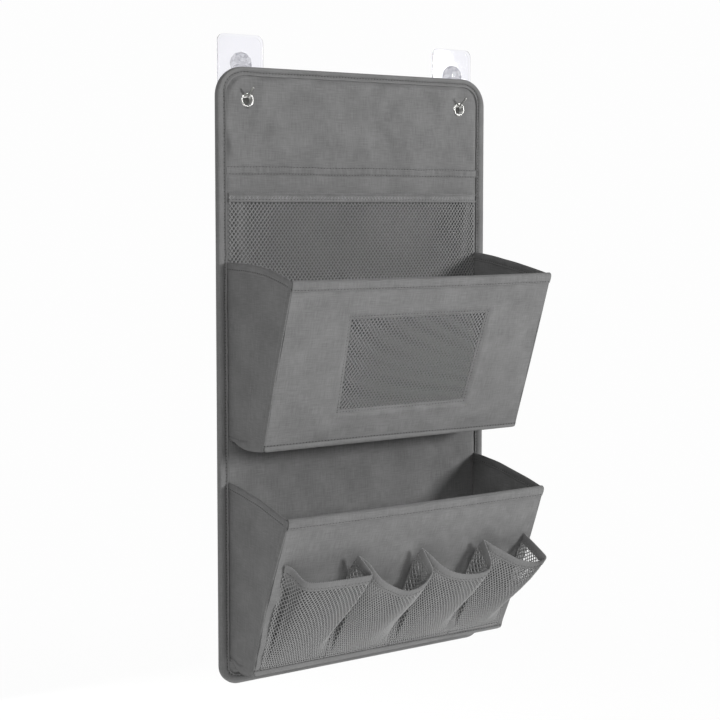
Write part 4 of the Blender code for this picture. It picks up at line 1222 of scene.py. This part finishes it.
def slab_outline(name, x, half_width, half_height, corner, y_front, y_back, bevel):
    """A rounded rectangle of plastic, softened along its front and back edges."""
    turns = []
    for x_sign, z_sign, start in ((1, 1, 0), (-1, 1, 90), (-1, -1, 180), (1, -1, 270)):
        for turn in np.linspace(start, start + 90, 10):
            turns.append((x + x_sign * (half_width - corner), z_sign * (half_height - corner),
                          math.radians(turn)))
    rings = []
    for inset, y in ((3 * bevel, y_front), (bevel, y_front), (0.3 * bevel, y_front + 0.3 * bevel),
                     (0.0, y_front + bevel), (0.0, y_back - bevel), (bevel, y_back)):
        radius = corner - inset
        rings.append([(cx + radius * math.cos(t), y, cz + radius * math.sin(t)) for cx, cz, t in turns])
    return swept(name, np.array(rings))


def make_hook(side, x):
    """A hook: its rounded plate, its faceted boss, and the wire that the panel hangs on."""
    plate = slab_outline(
        side + "_hook_clear_plate", x, half_width=26 * MM, half_height=30 * MM, corner=8 * MM,
        y_front=-2.7 * MM, y_back=-1.1 * MM, bevel=0.35 * MM)
    dress(plate, "wall_hooks", CLEAR, [side + "_hook_plate"])
    facets = BOSS_FACETS
    rings = []
    for radius, out, twist in BOSS_RINGS:
        turns = [2 * math.pi * (step + twist) / facets for step in range(facets)]
        rings.append([(x + radius * MM * math.cos(t), -out * MM, radius * MM * math.sin(t)) for t in turns])
    points = np.array(rings).reshape(-1, 3)
    faces = []
    for ring in range(len(rings) - 1):
        base, after, twisted = ring * facets, (ring + 1) * facets, ring in (1, 3)
        for step in range(facets):
            beside = (step + 1) % facets
            a, b, c, d = base + step, base + beside, after + beside, after + step
            if ring == 0:
                faces.append((a, b, c, d))
            elif twisted:
                faces += [(a, b, d), (b, c, d)]
            else:
                faces += [(a, b, c), (a, c, d)]
    faces += [tuple(range(facets))[::-1], tuple(range(len(points) - facets, len(points)))]
    faces = facing_out(points, faces)
    boss = new_object(side + "_hook_faceted_boss", points, faces)
    boss.data.shade_flat()
    # A random tint for each facet: painted shade and highlight for how the facets catch the light
    facet_shades = np.random.default_rng(7).uniform(0.0, 1.0, len(faces)) ** 1.5
    facet_shade_layer = boss.data.attributes.new("painted_facet_shade", "FLOAT", "FACE")
    facet_shade_layer.data.foreach_set("value", facet_shades.astype(np.float32))
    dress(boss, "wall_hooks", FACETED, [side + "_hook_boss"])

    down, lowest, turn_y, bend = -5.5 * MM, -32.75 * MM, -17.2 * MM, 3.6 * MM
    path = [(x, down, -5.2 * MM), (x, down, -14 * MM), (x, down, -22 * MM)]
    path += [(x, down - bend + bend * math.cos(t), lowest + bend + bend * math.sin(t))
             for t in np.linspace(0, -math.pi / 2, 9)]
    tip_turn = math.radians(WIRE_TIP_TURN)
    path += [(x, turn_y - bend * math.sin(t), lowest + bend - bend * math.cos(t))
             for t in np.linspace(0, tip_turn, 8)]
    last = path[-1]
    path += [(x, last[1] - reach * math.cos(tip_turn), last[2] + reach * math.sin(tip_turn))
             for reach in WIRE_TIP * np.array([0.3, 0.65, 1.0])]
    wire = tube(side + "_hook_steel_wire", path, WIRE_RADIUS)
    dress(wire, "wall_hooks", NICKEL, [side + "_hook_wire"])


for side, sign in (("left", -1), ("right", 1)):
    make_hook(side, sign * EYELET_X)

for name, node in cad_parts.items():
    if name.endswith("_board"):
        node.material_slots[0].material = BOARD
    elif name.endswith("_adhesive_pad"):
        node.material_slots[0].material = FOAM


# Stage

STUDIO_FLOOR_Z = -1.4


def make_floor_stage():
    """A pale floor well below the organizer, that fades out before its edge."""
    parts = new_material("pale studio floor")
    tree = parts[1]
    place = add(tree, "ShaderNodeTexCoord").outputs["Object"]
    reach = add(tree, "ShaderNodeVectorMath", {"operation": "LENGTH"}, {0: place})
    fade = add(tree, "ShaderNodeMapRange", {"interpolation_type": "SMOOTHSTEP"},
               {"Value": reach.outputs["Value"], "From Min": 1.2, "From Max": 3.6})
    pale = add(tree, "ShaderNodeBsdfDiffuse", None, {"Color": linear("#a2a2a1")})
    glow = add(tree, "ShaderNodeEmission", None, {"Color": (1, 1, 1, 1), "Strength": 0.86})
    lit = add(tree, "ShaderNodeAddShader", None, {0: pale.outputs[0], 1: glow.outputs[0]})
    clear = add(tree, "ShaderNodeBsdfTransparent")
    mixed = add(tree, "ShaderNodeMixShader", None,
                {0: fade.outputs[0], 1: lit.outputs[0], 2: clear.outputs[0]})
    corners = [(x, y, STUDIO_FLOOR_Z) for x, y in ((-4, -4), (4, -4), (4, 4), (-4, 4))]
    floor = new_object("studio_floor", corners, [(0, 1, 2, 3)])
    floor.data.materials.append(surfaced(parts, mixed))


def make_shade_card():
    """A grey card close behind the header, seen only by camera rays on its front: through the eyelets it
    shows the shade that a wall has there, partly real shadow from the panel and partly painted shade in its
    grey.
    """
    parts = new_material("grey card painted with wall shade")
    tree = parts[1]
    seen = add(tree, "ShaderNodeLightPath").outputs["Is Camera Ray"]
    behind = add(tree, "ShaderNodeNewGeometry").outputs["Backfacing"]
    shown = add(tree, "ShaderNodeMath", {"operation": "SUBTRACT", "use_clamp": True},
                {0: seen, 1: behind})
    # The card's grey is painted shade for the wall behind the eyelets
    pale = add(tree, "ShaderNodeBsdfDiffuse", None, {"Color": linear("#9a9a98")})
    clear = add(tree, "ShaderNodeBsdfTransparent")
    mixed = add(tree, "ShaderNodeMixShader", None,
                {0: shown.outputs[0], 1: clear.outputs[0], 2: pale.outputs[0]})
    half, low, high, depth = 145 * MM, -60 * MM, -20 * MM, -7.5 * MM
    corners = [(-half, depth, low), (half, depth, low), (half, depth, high), (-half, depth, high)]
    card = new_object("shade_card", corners, [(0, 1, 2, 3)])
    card.data.materials.append(surfaced(parts, mixed))


LIGHTS = (
    # name, place, aim, size, power
    ("key softbox", (1.35, -2.05, 0.15), (0.0, -0.05, -0.35), 0.5, 36.0),
    ("fill softbox", (-1.6, -1.8, 0.9), (0.0, -0.05, -0.35), 1.8, 18.5),
    ("rear softbox", (0.0, 2.3, -0.5), (0.0, 0.0, -0.35), 1.8, 16.0),
)
SKY = 0.20
BACKDROP = 0.985


def make_lights():
    """A white studio: a key from the right, a broad fill from the upper left, one behind, and a weak sky."""
    world = bpy.data.worlds.new("white studio")
    bpy.context.scene.world = world
    world.use_nodes = True
    tree = world.node_tree
    tree.nodes.clear()
    seen = add(tree, "ShaderNodeLightPath")
    direct = maths(tree, "MAXIMUM", seen.outputs["Is Camera Ray"], seen.outputs["Is Transmission Ray"])
    strength = add(tree, "ShaderNodeMapRange", None, {"Value": direct, "To Min": SKY, "To Max": BACKDROP})
    sky = add(tree, "ShaderNodeBackground", None,
              {"Color": (1.0, 1.0, 1.0, 1.0), "Strength": strength.outputs[0]})
    add(tree, "ShaderNodeOutputWorld", None, {"Surface": sky.outputs[0]})
    for name, place, aim, size, power in LIGHTS:
        light = bpy.data.lights.new(name, "AREA")
        light.shape, light.size, light.energy = "DISK", size, power
        lamp = bpy.data.objects.new(name, light)
        bpy.context.scene.collection.objects.link(lamp)
        lamp.location = place
        lamp.visible_camera = lamp.visible_transmission = False
        lamp.rotation_euler = (Vector(aim) - Vector(place)).to_track_quat("-Z", "Y").to_euler()


def make_camera():
    """At the photograph's side: 32 degrees to the left of the front, level with the header."""
    data = bpy.data.cameras.new("camera")
    data.lens, data.sensor_width = 71.84, 36.0
    data.shift_y = -0.08
    camera = bpy.data.objects.new("camera", data)
    bpy.context.scene.collection.objects.link(camera)
    camera.location = (-0.8116, -1.2974, -0.1428)
    camera.rotation_euler = (math.radians(90.0 - 3.812), 0.0, math.radians(-32.437))
    bpy.context.scene.camera = camera


make_floor_stage()
make_shade_card()
make_lights()
make_camera()
bpy.context.scene.view_settings.view_transform = "Standard"
